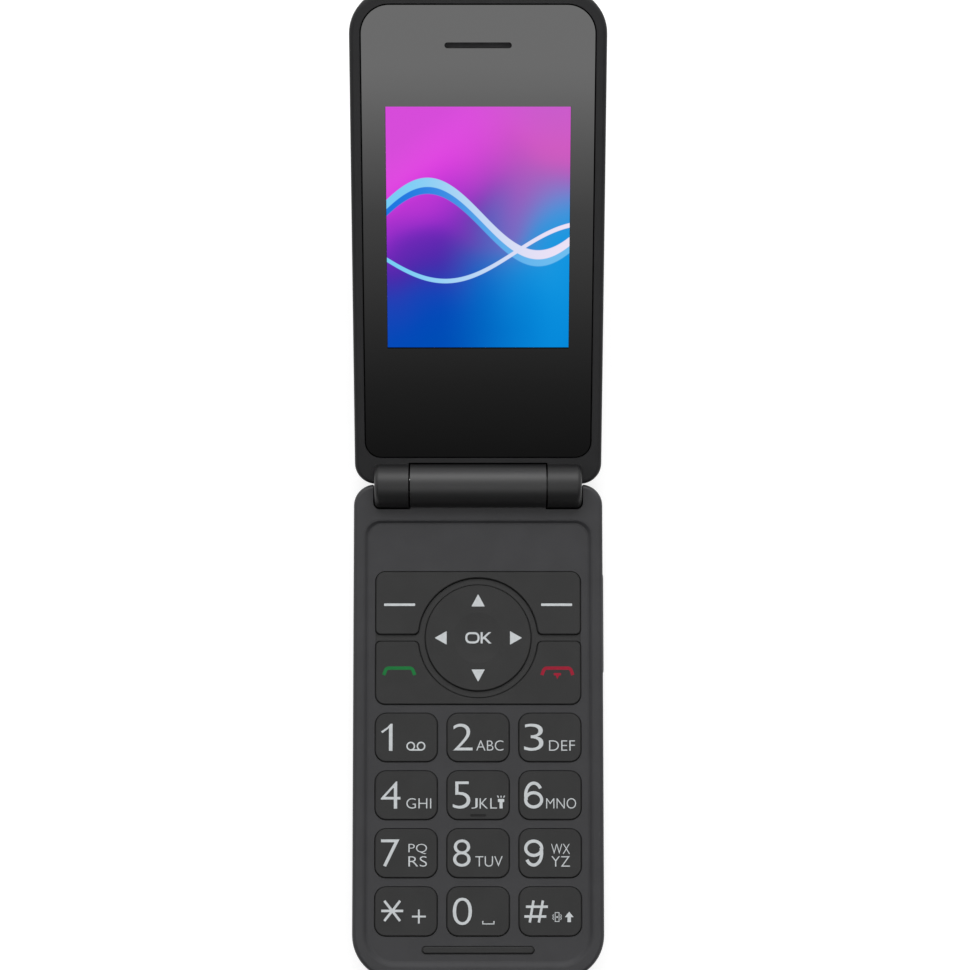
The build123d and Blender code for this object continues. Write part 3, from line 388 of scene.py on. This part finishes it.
def wallpaper(name):
    """The lit screen: soft drifting colours with two pale ribbons across them."""
    material, tree, shader = new_material(name)
    uv = add_node(tree, "ShaderNodeTexCoord").outputs["UV"]
    axes = axes_of(tree, uv)
    across, up = axes["X"], axes["Y"]
    sockets = {"Vector": uv, "Scale": 1.7, "Detail": 1.0, "Distortion": 0.6}
    drift = add_node(tree, "ShaderNodeTexNoise", sockets).outputs["Fac"]
    drift = calc(tree, "SUBTRACT", drift, 0.5)
    height = calc(tree, "MULTIPLY_ADD", across, -0.26, up)
    height = calc(tree, "MULTIPLY_ADD", drift, 0.5, height)
    height = calc(tree, "ADD", height, 0.13, clamp=True)
    left = ramp(
        tree,
        height,
        [
            (0.05, tint(0, 76, 182)),
            (0.22, tint(8, 70, 186)),
            (0.38, tint(62, 44, 170)),
            (0.50, tint(98, 38, 176)),
            (0.61, tint(140, 44, 200)),
            (0.74, tint(214, 58, 220)),
            (0.86, tint(228, 75, 228)),
            (1.0, tint(212, 76, 216)),
        ],
        "B_SPLINE",
    )
    right = ramp(
        tree,
        height,
        [
            (0.0, tint(3, 132, 215)),
            (0.2, tint(14, 150, 226)),
            (0.38, tint(36, 154, 222)),
            (0.52, tint(150, 100, 190)),
            (0.64, tint(208, 90, 190)),
            (0.8, tint(208, 92, 198)),
            (1.0, tint(196, 92, 210)),
        ],
        "B_SPLINE",
    )
    colours = blend_colours(tree, ease_between(tree, across, 0.25, 0.95), left, right)

    def ribbon(under, turns, start, swing, middle, half_width, edge, pale):
        """Lays one waving ribbon over the colours so far."""
        wave = calc(tree, "SINE", calc(tree, "MULTIPLY_ADD", across, turns, start))
        line = calc(tree, "MULTIPLY_ADD", wave, swing, middle)
        away = calc(tree, "ABSOLUTE", calc(tree, "SUBTRACT", up, line))
        share = ease_between(tree, away, half_width + edge, half_width)
        return blend_colours(tree, share, under, pale)

    glow = ramp(tree, across, [(0.0, tint(120, 205, 245)), (1.0, tint(236, 226, 246))])
    shadow = ramp(tree, across, [(0.0, tint(30, 120, 225)), (1.0, tint(110, 190, 240))])
    colours = ribbon(colours, 5.2, 0.4, 0.15, 0.515, 0.020, 0.006, shadow)
    colours = ribbon(colours, 5.2, 0.4, 0.15, 0.540, 0.017, 0.004, glow)
    colours = ribbon(colours, 4.1, 3.4, 0.12, 0.400, 0.008, 0.003, glow)
    tree.links.new(colours, shader.inputs["Emission Color"])
    shader.inputs["Emission Strength"].default_value = 1.0
    shader.inputs["Base Color"].default_value = (0, 0, 0, 1)
    shader.inputs["Specular IOR Level"].default_value = 0
    return material


BARREL = (barrel_share, tint(13, 13, 14), 0.6)
# Painted shade: the sunken ring round the navigation key is coloured darker than the shell.
RING_SHADE = (ring_painted_shade_share, tint(38, 38, 38), 0.0)
# Painted shade: the raised mark on the middle key is coloured near black.
PIP_SHADE = (pip_painted_shade_share, tint(12, 12, 12), 0.0)
SHELL = moulded("satin_grey_shell", tint(47, 47, 49), 0.46, shine=0.33, zones=(RING_SHADE, BARREL))
LID_SHELL = moulded("satin_grey_lid", tint(37, 37, 38), 0.46, shine=0.2, zones=(BARREL,))
COVER = moulded("fine_grain_cover", tint(42, 42, 43), 0.55, grain_mm=0.3, depth_mm=0.03)
KEY_LOOK = {"roughness": 0.52, "grain_mm": 0.1, "depth_mm": 0.006, "shine": 0.28}
KEYS = moulded("matt_grey_keys", tint(40, 40, 40), **KEY_LOOK)
# The middle key's material, with painted shade on its raised mark.
PIP_SHADED_KEY = moulded("matt_grey_key_painted_pip_shade", tint(40, 40, 40), zones=(PIP_SHADE,), **KEY_LOOK)
SILICONE = moulded("milky_silicone", tint(205, 205, 200), 0.6)
BLACK = moulded("black_plastic", tint(20, 20, 21), 0.5)
STEEL = moulded("pressed_steel", tint(190, 190, 188), 0.3, metal=1.0)
DARK_STEEL = moulded("blackened_steel", tint(14, 14, 15), 0.5, metal=1.0)
GOLD = moulded("gold_plated", tint(212, 175, 96), 0.28, metal=1.0)
CELL = moulded("battery_wrap", tint(60, 62, 66), 0.45)
MAGNET = moulded("nickel_magnet", tint(170, 170, 172), 0.25, metal=1.0)
FLEX = moulded("amber_film", tint(170, 95, 30), 0.35)
BOARD = circuit("green_board")
PANEL = moulded("black_panel", tint(10, 10, 12), 0.2)
INK = printed("window_ink", INK_COLOUR, 0.05)
WINDOW = window_glass("clear_window")
SMOKED = clear("smoked_window", tint(70, 70, 74), 0.02)
FLASH = clear("flash_lens", tint(250, 246, 225), 0.25)
CAMERA = lens_glass("coated_lens")
MESH = woven("sound_mesh", tint(62, 62, 64), 0.16)
PRINT = printed("pale_print", tint(188, 192, 194))
GREEN = printed("green_print", tint(12, 108, 50), 0.2)
RED = printed("red_print", tint(145, 14, 42), 0.2)
SCREEN = wallpaper("lit_screen")

NUMBER_KEYS = ["key_" + n for n in "1 2 3 4 5 6 7 8 9 star 0 hash".split()]
FINISHES = (
    (SHELL, "base_front_housing", "base_rear_housing"),
    (LID_SHELL, "lid_front_frame", "lid_rear_housing"),
    (COVER, "battery_cover"),
    (KEYS, "soft_keys", "call_end_keys", "nav_key", "side_key", "lid_strip", *NUMBER_KEYS),
    (PIP_SHADED_KEY, "key_5"),
    (SILICONE, "keypad_mat", "nav_pad"),
    (BLACK, "nav_plunger", "side_switches", "headphone_socket", "loudspeaker", "earpiece"),
    (BLACK, "battery_connector", "hinge_case", "camera", "hinge_bush"),
    (STEEL, "usb_socket", "vibration_motor", "card_holder", "base_screws", "lid_screws"),
    (STEEL, "hinge_spring", "microphone"),
    (DARK_STEEL, "hinge_shaft", "hinge_cam", "hinge_follower"),
    (GOLD, "antenna"),
    (CELL, "battery"),
    (BOARD, "main_board", "lid_board"),
    (FLEX, "hinge_flex", "lid_flex", "dome_sheet"),
    (PANEL, "display_module", "outer_display"),
    (WINDOW, "lid_window"),
    (SMOKED, "outer_window"),
    (CAMERA, "camera_lens"),
    (FLASH, "flash_lens"),
    (MESH, "earpiece_mesh"),
    (MAGNET, "lid_magnet"),
)
for finish, *names in FINISHES:
    for name in names:
        for material_slot in nodes[name].material_slots:
            material_slot.material = finish


# Modelling


def choose(pieces):
    """Selects these pieces and no others, the first one active."""
    bpy.ops.object.select_all(action="DESELECT")
    for piece in pieces:
        piece.select_set(True)
    bpy.context.view_layer.objects.active = pieces[0]


def settle(piece):
    """Puts one piece's place, turn and size into its mesh."""
    choose([piece])
    bpy.ops.object.transform_apply(location=True, rotation=True, scale=True)


def finish_piece(piece, name, material, body, place=None):
    """Names a made piece, puts its place in its mesh and lets it ride."""
    piece.name = piece.data.name = name
    if place is not None:
        piece.matrix_basis = place @ piece.matrix_basis
    settle(piece)
    bpy.ops.object.shade_flat()
    piece.data.materials.clear()
    piece.data.materials.append(material)
    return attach(piece, body)


def apply_modifiers(piece):
    """Applies a piece's modifiers in the order they were given."""
    bpy.context.view_layer.objects.active = piece
    for modifier in list(piece.modifiers):
        bpy.ops.object.modifier_apply(modifier=modifier.name)


def corner_bevel(piece, chooser, radius_mm, steps=8):
    """Rounds the outline corners that the chooser picks, in millimetres."""
    bpy.ops.object.mode_set(mode="EDIT")
    bpy.ops.mesh.select_all(action="DESELECT")
    bpy.ops.object.mode_set(mode="OBJECT")
    for corner in piece.data.vertices:
        corner.select = chooser(corner.co / MM)
    bpy.ops.object.mode_set(mode="EDIT")
    bpy.ops.mesh.bevel(offset=radius_mm * MM, segments=steps, affect="VERTICES")
    bpy.ops.object.mode_set(mode="OBJECT")


def flat_plate(x_low, x_high, y_low, y_high, z=0.0):
    """A flat plate to shape further, drawn at its size and place in millimetres."""
    bpy.ops.object.select_all(action="DESELECT")
    bpy.ops.mesh.primitive_plane_add(size=1)
    plate = bpy.context.object
    plate.scale = ((x_high - x_low) * MM, (y_high - y_low) * MM, 1)
    plate.location = ((x_low + x_high) / 2 * MM, (y_low + y_high) / 2 * MM, z * MM)
    settle(plate)
    return plate


def thicken(piece, thickness_mm, upwards=True):
    """Gives a flat shape a thickness, above or below where it lies."""
    solid = piece.modifiers.new("thickness", "SOLIDIFY")
    solid.thickness = thickness_mm * MM
    solid.offset = 1 if upwards else -1
    apply_modifiers(piece)


def combine(piece, other, operation):
    """Adds a second solid to a piece or cuts it out, and throws the second away."""
    step = piece.modifiers.new("combine", "BOOLEAN")
    step.operation = operation
    step.object = other
    step.solver = "EXACT"
    apply_modifiers(piece)
    bpy.data.objects.remove(other)


def seat_print(shapes, name, material, body):
    """Gives flat shapes a print's thickness and seats them in a flat key top as one solid."""
    for shape in shapes:
        shape.location.z = (KEY_TOP - PRINT_SUNK) * MM
        settle(shape)
        thicken(shape, PRINT_RISE + PRINT_SUNK)
    whole, *others = shapes
    for other in others:
        combine(whole, other, "UNION")
    return finish_piece(whole, name, material, body)


def wrap_print(piece, name, material, key):
    """Lays a flat shape into the hollow of a dished key and gives it a print's thickness."""
    piece.location.z = (KEY_TOP + 1) * MM
    settle(piece)
    wrap = piece.modifiers.new("lay", "SHRINKWRAP")
    wrap.target = nodes[key]
    wrap.wrap_method = "PROJECT"
    wrap.use_project_z = True
    wrap.use_negative_direction = True
    wrap.use_positive_direction = False
    wrap.offset = PRINT_RISE * MM
    thicken(piece, PRINT_RISE + PRINT_SUNK, upwards=False)
    return finish_piece(piece, name, material, key)


def fit_flat(piece, x_low, x_high, y_low, y_high):
    """Scales a flat shape to fill a box, in millimetres."""
    corners = [v.co for v in piece.data.vertices]
    low = [min(c[k] for c in corners) for k in (0, 1)]
    high = [max(c[k] for c in corners) for k in (0, 1)]
    grow = [
        (x_high - x_low) * MM / (high[0] - low[0]),
        (y_high - y_low) * MM / (high[1] - low[1]),
    ]
    piece.scale = (grow[0], grow[1], 1)
    piece.location = (x_low * MM - low[0] * grow[0], y_low * MM - low[1] * grow[1], 0)
    return piece


def lettering(text, box, weight=-0.012):
    """Flat letters that fill a box, in millimetres."""
    bpy.ops.object.select_all(action="DESELECT")
    bpy.ops.object.text_add()
    words = bpy.context.object
    words.data.body = text
    words.data.resolution_u = 5
    words.data.offset = weight
    bpy.ops.object.convert(target="MESH")
    return fit_flat(bpy.context.object, *box)


def rounded_bar(box, radius_mm):
    """Flat bar with rounded corners."""
    bar = flat_plate(*box)
    corner_bevel(bar, lambda co: True, radius_mm, 4)
    return bar


def arrow_head(box, turn=0.0):
    """Flat triangle with its corners softened, pointing up before it is turned."""
    bpy.ops.object.select_all(action="DESELECT")
    bpy.ops.mesh.primitive_circle_add(vertices=3, radius=1 * MM, fill_type="NGON")
    head = bpy.context.object
    corner_bevel(head, lambda co: True, 0.08, 3)
    head.rotation_euler.z = turn
    settle(head)
    return fit_flat(head, *box)


def line_through(points, closed):
    """A curve with straight stretches through points in millimetres."""
    line = bpy.data.curves.new("line", "CURVE")
    spline = line.splines.new("POLY")
    spline.points.add(len(points) - 1)
    for point, (x, y) in zip(spline.points, points):
        point.co = (x * MM, y * MM, 0, 1)
    spline.use_cyclic_u = closed
    shape = bpy.data.objects.new("line", line)
    bpy.context.scene.collection.objects.link(shape)
    return shape


def as_mesh(shape):
    """Turns a flat curve into a mesh whose face looks up."""
    choose([shape])
    bpy.ops.object.convert(target="MESH")
    shape = bpy.context.object
    bpy.ops.object.mode_set(mode="EDIT")
    bpy.ops.mesh.select_all(action="SELECT")
    bpy.ops.mesh.remove_doubles(threshold=0.001 * MM)
    bpy.ops.mesh.normals_make_consistent(inside=False)
    bpy.ops.object.mode_set(mode="OBJECT")
    if shape.data.polygons[0].normal.z < 0:
        bpy.ops.object.mode_set(mode="EDIT")
        bpy.ops.mesh.flip_normals()
        bpy.ops.object.mode_set(mode="OBJECT")
    return shape


def filled(points):
    """A flat shape inside a closed outline of points in millimetres."""
    shape = line_through(points, closed=True)
    shape.data.dimensions = "2D"
    shape.data.fill_mode = "BOTH"
    return as_mesh(shape)


def stroke(points, width_mm, closed=False):
    """A pen stroke through points in millimetres, as a flat ribbon."""
    shape = line_through(points, closed)
    shape.data.dimensions = "3D"
    shape.data.extrude = width_mm / 2 * MM
    for point in shape.data.splines[0].points:
        point.tilt = pi / 2
    return as_mesh(shape)


def joined(shapes):
    """Several flat shapes that don't touch, made one."""
    choose(shapes)
    bpy.ops.object.join()
    return bpy.context.object


def moved(points, x, y):
    """Points given from a centre, moved to where that centre is."""
    return [(x + a, y + b) for a, b in points]


def arc(x, y, half_width, half_height, start, end, steps=12):
    """Points along part of an oval, angles in degrees."""
    turns = [radians(start + (end - start) * k / steps) for k in range(steps + 1)]
    return [(x + half_width * cos(t), y + half_height * sin(t)) for t in turns]


def ring(x, y, half_width, half_height, width_mm):
    """A closed oval stroke."""
    return stroke(arc(x, y, half_width, half_height, 0, 345, 23), width_mm, closed=True)


def star_outline(x, y, arms, half_width):
    """Outline of a star whose arms are given as (angle in degrees, length)."""
    points = []
    for (turn, length), (next_turn, _) in zip(arms, arms[1:] + arms[:1]):
        along = (cos(radians(turn)), sin(radians(turn)))
        for side in (-half_width, half_width):
            points.append(
                (x + length * along[0] - side * along[1], y + length * along[1] + side * along[0])
            )
        half = radians((next_turn - turn) % 360) / 2
        reach = half_width / sin(half)
        points.append((x + reach * cos(radians(turn) + half), y + reach * sin(radians(turn) + half)))
    return points


def around(x, y, box):
    """A box given from a centre, moved to where that centre is."""
    return (x + box[0], x + box[1], y + box[2], y + box[3])


# Prints on the number keys: figure, its box, letters and their boxes, from the key's centre

FIGURE_LOW, FIGURE_HIGH = -2.70, 2.84
LETTER_LOW, LETTER_HIGH = -2.68, -0.58
UPPER_LOW, UPPER_HIGH = -0.12, 1.94
PLUS_LOW, PLUS_HIGH = -2.39, 0.44
FIGURES = (
    ("1", None, ()),
    ("2", (-5.20, -1.15), (("ABC", -0.39, 5.21, 0),)),
    ("3", (-5.32, -1.34), (("DEF", -0.18, 5.15, 0),)),
    ("4", (-5.20, -1.18), (("GHI", 0.05, 5.16, 0),)),
    ("5", (-5.20, -1.60), (("J", -1.38, -0.10, 0), ("K", 0.32, 2.00, 0), ("L", 2.50, 3.88, 0))),
    ("6", None, (("MNO", -0.80, 5.35, 0),)),
    ("7", (-5.14, -1.37), (("PQ", 0.50, 4.30, 1), ("RS", 0.50, 4.30, 0))),
    ("8", (-5.14, -1.55), (("TUV", -0.57, 5.02, 0),)),
    ("9", None, (("WX", 0.20, 4.05, 1), ("YZ", 0.24, 4.04, 0))),
    ("star", None, (("+", 1.25, 4.08, 2),)),
    ("0", (-5.20, -1.25), ()),
    ("hash", None, ()),
)
LETTER_ROWS = ((LETTER_LOW, LETTER_HIGH), (UPPER_LOW, UPPER_HIGH), (PLUS_LOW, PLUS_HIGH))
ONE = (
    (-2.85, 2.83),
    (-2.85, -2.72),
    (-3.58, -2.72),
    (-3.58, 1.97),
    (-4.06, 1.56),
    (-4.92, 0.92),
    (-5.23, 1.24),
    (-3.90, 2.13),
    (-3.26, 2.83),
)


def hooked_figure(x, y, upside):
    """A six (upside 1) or a nine (upside -1): an oval bowl and a hook that grows out of it."""
    hook = arc(0.03, 0, 1.66, 2.44, 34, 205, 20)
    bowl = arc(0, -0.98, 1.65, 1.46, 0, 345, 23)
    return [
        stroke([(x + upside * a, y + upside * b) for a, b in line], 0.64, closed=line is bowl)
        for line in (hook, bowl)
    ]


def extra_marks(figure, x, y):
    """Figures drawn from listed points, and marks that aren't letters, in the places a keypad has
    them.
    """
    if figure == "1":
        loops = [ring(x + cx, y - 1.76, 0.76, 0.78, 0.28) for cx in (0.92, 3.04)]
        floor_line = rounded_bar((x + 0.92, x + 3.04, y - 2.68, y - 2.40), 0.05)
        return [filled(moved(ONE, x, y)), *loops, floor_line]
    if figure == "5":
        rays = [
            stroke([(x + a, y - 0.45), (x + b, y - 0.05)], 0.22)
            for a, b in ((4.22, 3.98), (4.72, 4.72), (5.22, 5.46))
        ]
        body = rounded_bar((x + 4.41, x + 5.03, y - 2.66, y - 1.3), 0.05)
        return [*rays, body, rounded_bar((x + 4.07, x + 5.37, y - 1.36, y - 0.72), 0.12)]
    if figure in ("6", "9"):
        return hooked_figure(x - 3.38, y + 0.07, 1 if figure == "6" else -1)
    if figure == "0":
        corners = [(0.96, -1.89), (0.96, -2.47), (3.24, -2.47), (3.24, -1.89)]
        return [stroke(moved(corners, x, y), 0.27)]
    if figure == "star":
        arms = [(0, 2.24), (51.6, 2.6), (128.4, 2.6), (180, 2.24), (231.6, 2.6), (308.4, 2.6)]
        return [filled(star_outline(x - 2.80, y + 0.16, arms, 0.25))]
    if figure == "hash":
        bars = (
            [(-4.23, -2.19), (-3.45, 2.26)],
            [(-2.37, -2.19), (-1.52, 2.26)],
            [(-5.01, 1.01), (-0.50, 1.01)],
            [(-5.32, -0.97), (-0.84, -0.97)],
        )
        marks = [stroke(moved(bar, x, y), 0.50) for bar in bars]
        case = [(0.98, -1.98), (1.78, -1.98), (1.78, -0.18), (0.98, -0.18)]
        marks += [stroke(moved(case, x, y), 0.2, closed=True)]
        marks += [rounded_bar((x + 1.22, x + 1.54, y - 1.24, y - 0.92), 0.05)]
        for side in (-1, 1):
            wave = [(0.72, -1.62), (0.90, -1.30), (0.72, -1.08), (0.90, -0.86), (0.72, -0.54)]
            marks += [stroke([(x + 1.38 + side * a, y + b) for a, b in wave], 0.15)]
        marks += [rounded_bar((x + 3.50, x + 4.22, y - 2.11, y - 1.0), 0.04)]
        return [*marks, arrow_head((x + 2.99, x + 4.72, y - 1.10, y - 0.03))]
    return []


for index, (figure, span, letters) in enumerate(FIGURES):
    row, column = divmod(index, 3)
    x, y = KEY_COLUMNS[column], KEY_ROWS[row]
    key = "key_" + figure
    shapes = extra_marks(figure, x, y)
    if span:
        shapes.append(lettering(figure, around(x, y, (*span, FIGURE_LOW, FIGURE_HIGH))))
    for text, x_low, x_high, height in letters:
        low, high = LETTER_ROWS[height]
        shapes.append(lettering(text, around(x, y, (x_low, x_high, low, high))))
    seat_print(shapes, key + "_print", PRINT, key)


# Prints on the keys round the navigation key

SOFT_MARK_X = 16.26
CALL_MARK_X = -16.30
END_MARK_X = 16.38

for middle, name in ((-SOFT_MARK_X, "left_soft_mark"), (SOFT_MARK_X, "right_soft_mark")):
    dash = rounded_bar((middle - 3.22, middle + 3.22, NAV_Y + 6.60, NAV_Y + 7.12), 0.14)
    seat_print([dash], name, PRINT, "soft_keys")


def handset(middle):
    """The hung-up handset line on the call and end keys."""
    corner = (middle - 2.14, NAV_Y - 6.97)
    left = [(middle - 3.2, NAV_Y - 7.66), *arc(*corner, 0.76, 0.74, 165, 90, 6)]
    right = [(2 * middle - x, y) for x, y in reversed(left)]
    return stroke(left + right, 0.68)


seat_print([handset(CALL_MARK_X)], "call_mark", GREEN, "call_end_keys")
end_bar = rounded_bar(around(END_MARK_X, NAV_Y, (-0.76, 0.76, -7.72, -7.24)), 0.1)
end_point = arrow_head(around(END_MARK_X, NAV_Y, (-0.40, 0.40, -8.48, -7.62)), pi)
seat_print([handset(END_MARK_X), end_bar, end_point], "end_mark", RED, "call_end_keys")

arrows = [
    arrow_head((-1.33, 1.33, NAV_Y + 6.50, NAV_Y + 8.98)),
    arrow_head((-1.33, 1.33, NAV_Y - 8.97, NAV_Y - 6.52), pi),
    arrow_head((-8.91, -6.51, NAV_Y - 1.36, NAV_Y + 1.36), pi / 2),
    arrow_head((6.60, 9.00, NAV_Y - 1.36, NAV_Y + 1.36), -pi / 2),
]
seat_print(arrows, "nav_arrows_print", PRINT, "nav_key")

LETTER_K = (
    (0.52, 1.19),
    (0.94, 1.19),
    (0.94, 0.10),
    (2.14, 1.19),
    (2.72, 1.19),
    (1.52, 0.12),
    (2.75, -1.14),
    (2.19, -1.14),
    (1.20, -0.16),
    (0.94, -0.40),
    (0.94, -1.14),
    (0.52, -1.14),
)
O_CORNERS = ((-0.72, 0.18, 0), (-1.64, 0.18, 90), (-1.64, -0.13, 180), (-0.72, -0.13, 270))
letter_o = []
for corner_x, corner_y, start in O_CORNERS:
    letter_o += arc(corner_x, NAV_Y + corner_y, 0.80, 0.80, start, start + 90, 6)
ok = joined([stroke(letter_o, 0.42, closed=True), filled(moved(LETTER_K, 0, NAV_Y))])
wrap_print(ok, "nav_ok_print", PRINT, "nav_key")


# Ink behind the window, with the view and the sound slot left open

INK_TOP = -1.14
INK_T = 0.04
INK_EDGE = 0.05
TIP_ROUND = 5.8
FOOT_ROUND = 3.3
CUT_DEPTH = 2
ink = flat_plate(
    INK_EDGE - WINDOW_HALF, WINDOW_HALF - INK_EDGE, WINDOW_START + INK_EDGE, WINDOW_END - INK_EDGE
)
corner_bevel(ink, lambda co: co.y > VIEW_MIDDLE, TIP_ROUND)
corner_bevel(ink, lambda co: co.y < VIEW_MIDDLE, FOOT_ROUND)
thicken(ink, INK_T)
opening = flat_plate(-VIEW_HALF, VIEW_HALF, VIEW_START, VIEW_END, -CUT_DEPTH / 2)
thicken(opening, CUT_DEPTH)
combine(ink, opening, "DIFFERENCE")
slot = rounded_bar((-EAR_HALF, EAR_HALF, EAR_S - EAR_HALF_H, EAR_S + EAR_HALF_H), EAR_ROUND)
slot.location.z = -CUT_DEPTH / 2 * MM
thicken(slot, CUT_DEPTH)
combine(ink, slot, "DIFFERENCE")
ink.location.z = (INK_TOP - INK_T) * MM
finish_piece(ink, "window_ink", INK, "lid", LID)


# The lit panel, in the recess of the display module

SCREEN_TOP = -1.32
SCREEN_T = 0.05
SCREEN_EDGE = 0.02
screen = flat_plate(
    SCREEN_EDGE - VIEW_HALF,
    VIEW_HALF - SCREEN_EDGE,
    VIEW_START + SCREEN_EDGE,
    VIEW_END - SCREEN_EDGE,
    SCREEN_TOP,
)
thicken(screen, SCREEN_T, upwards=False)
finish_piece(screen, "lit_screen", SCREEN, "lid", LID)


# Floor, light and background

FLOOR_DROP = 0.02
FLOOR_SIDE = 8
PANEL_LIGHT = 3.4
LAMP_POWER = 8.6
LAMP_WIDTH = 1.1
LAMP_DEPTH = 0.5
LAMP_PLACE = (0, 0.9, 0.85)
LAMP_TILT = radians(-45)

bpy.ops.object.select_all(action="DESELECT")
bpy.ops.mesh.primitive_plane_add(size=FLOOR_SIDE, location=(0, 0, -FLOOR_DROP * MM))
bpy.ops.object.transform_apply(location=True)
floor = bpy.context.object
floor.name = "floor"
paper, tree, shader = new_material("pale_floor")
tree.nodes.remove(shader)
seen = add_node(tree, "ShaderNodeLightPath")
direct = calc(tree, "MAXIMUM", seen.outputs["Is Camera Ray"], seen.outputs["Is Glossy Ray"])
direct = calc(tree, "MAXIMUM", direct, seen.outputs["Is Transmission Ray"])
plain = add_node(tree, "ShaderNodeBsdfDiffuse", {"Color": (0.8, 0.8, 0.8, 1)})
lit = add_node(tree, "ShaderNodeBsdfDiffuse", {"Color": (0.4, 0.4, 0.4, 1)})
white = add_node(tree, "ShaderNodeEmission", {"Color": (1, 1, 1, 1), "Strength": 0.72})
bright = add_node(tree, "ShaderNodeAddShader", {0: lit.outputs[0], 1: white.outputs[0]})
mix_surface(tree, direct, plain, bright)
floor.data.materials.append(paper)
floor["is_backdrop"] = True

world = bpy.data.worlds.new("studio")
world.use_nodes = True
bpy.context.scene.world = world
tree = world.node_tree
sky = axes_of(tree, add_node(tree, "ShaderNodeTexCoord").outputs["Generated"])
slope = calc(tree, "MULTIPLY_ADD", sky["Y"], 0.5, 0.5)

# Light levels by direction: -1 is beyond the chin, 0 overhead, 1 beyond the lid's tip
ROOM_LEVELS = ((-1, 0.12), (-0.7, 0.12), (-0.5, 0.12), (-0.2, 0.55), (0, 0.8), (1, 1.0))
PANEL_LEVELS = (
    (-0.57, 0.0),
    (-0.541, 0.05),
    (-0.519, 0.12),
    (-0.498, 0.22),
    (-0.476, 0.33),
    (-0.453, 0.6),
    (-0.425, 1.0),
    (-0.22, 1.0),
    (-0.12, 0.0),
)


def sky_stops(levels):
    """Ramp stops for light levels by direction."""
    return [((1 + y) / 2, (level, level, level, 1)) for y, level in levels]


room = ramp(tree, slope, sky_stops(ROOM_LEVELS))
panel = ramp(tree, slope, sky_stops(PANEL_LEVELS), "LINEAR")
sideways = calc(tree, "ABSOLUTE", sky["X"])
sockets = {"Value": sideways, "From Min": 0.2, "From Max": 0.12, "To Max": PANEL_LIGHT}
edge = add_node(tree, "ShaderNodeMapRange", sockets)
panel_share = calc(tree, "MULTIPLY", panel, edge.outputs["Result"])
total = calc(tree, "ADD", room, panel_share)
direct = add_node(tree, "ShaderNodeLightPath").outputs["Is Camera Ray"]
background = tree.nodes["Background"]
tree.links.new(calc(tree, "MAXIMUM", total, direct), background.inputs["Color"])

lamp_data = bpy.data.lights.new("top_light", "AREA")
lamp_data.energy = LAMP_POWER
lamp_data.shape = "RECTANGLE"
lamp_data.size = LAMP_WIDTH
lamp_data.size_y = LAMP_DEPTH
lamp = bpy.data.objects.new("top_light", lamp_data)
lamp.location = LAMP_PLACE
lamp.rotation_euler = (LAMP_TILT, 0, 0)
bpy.context.scene.collection.objects.link(lamp)

low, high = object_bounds()
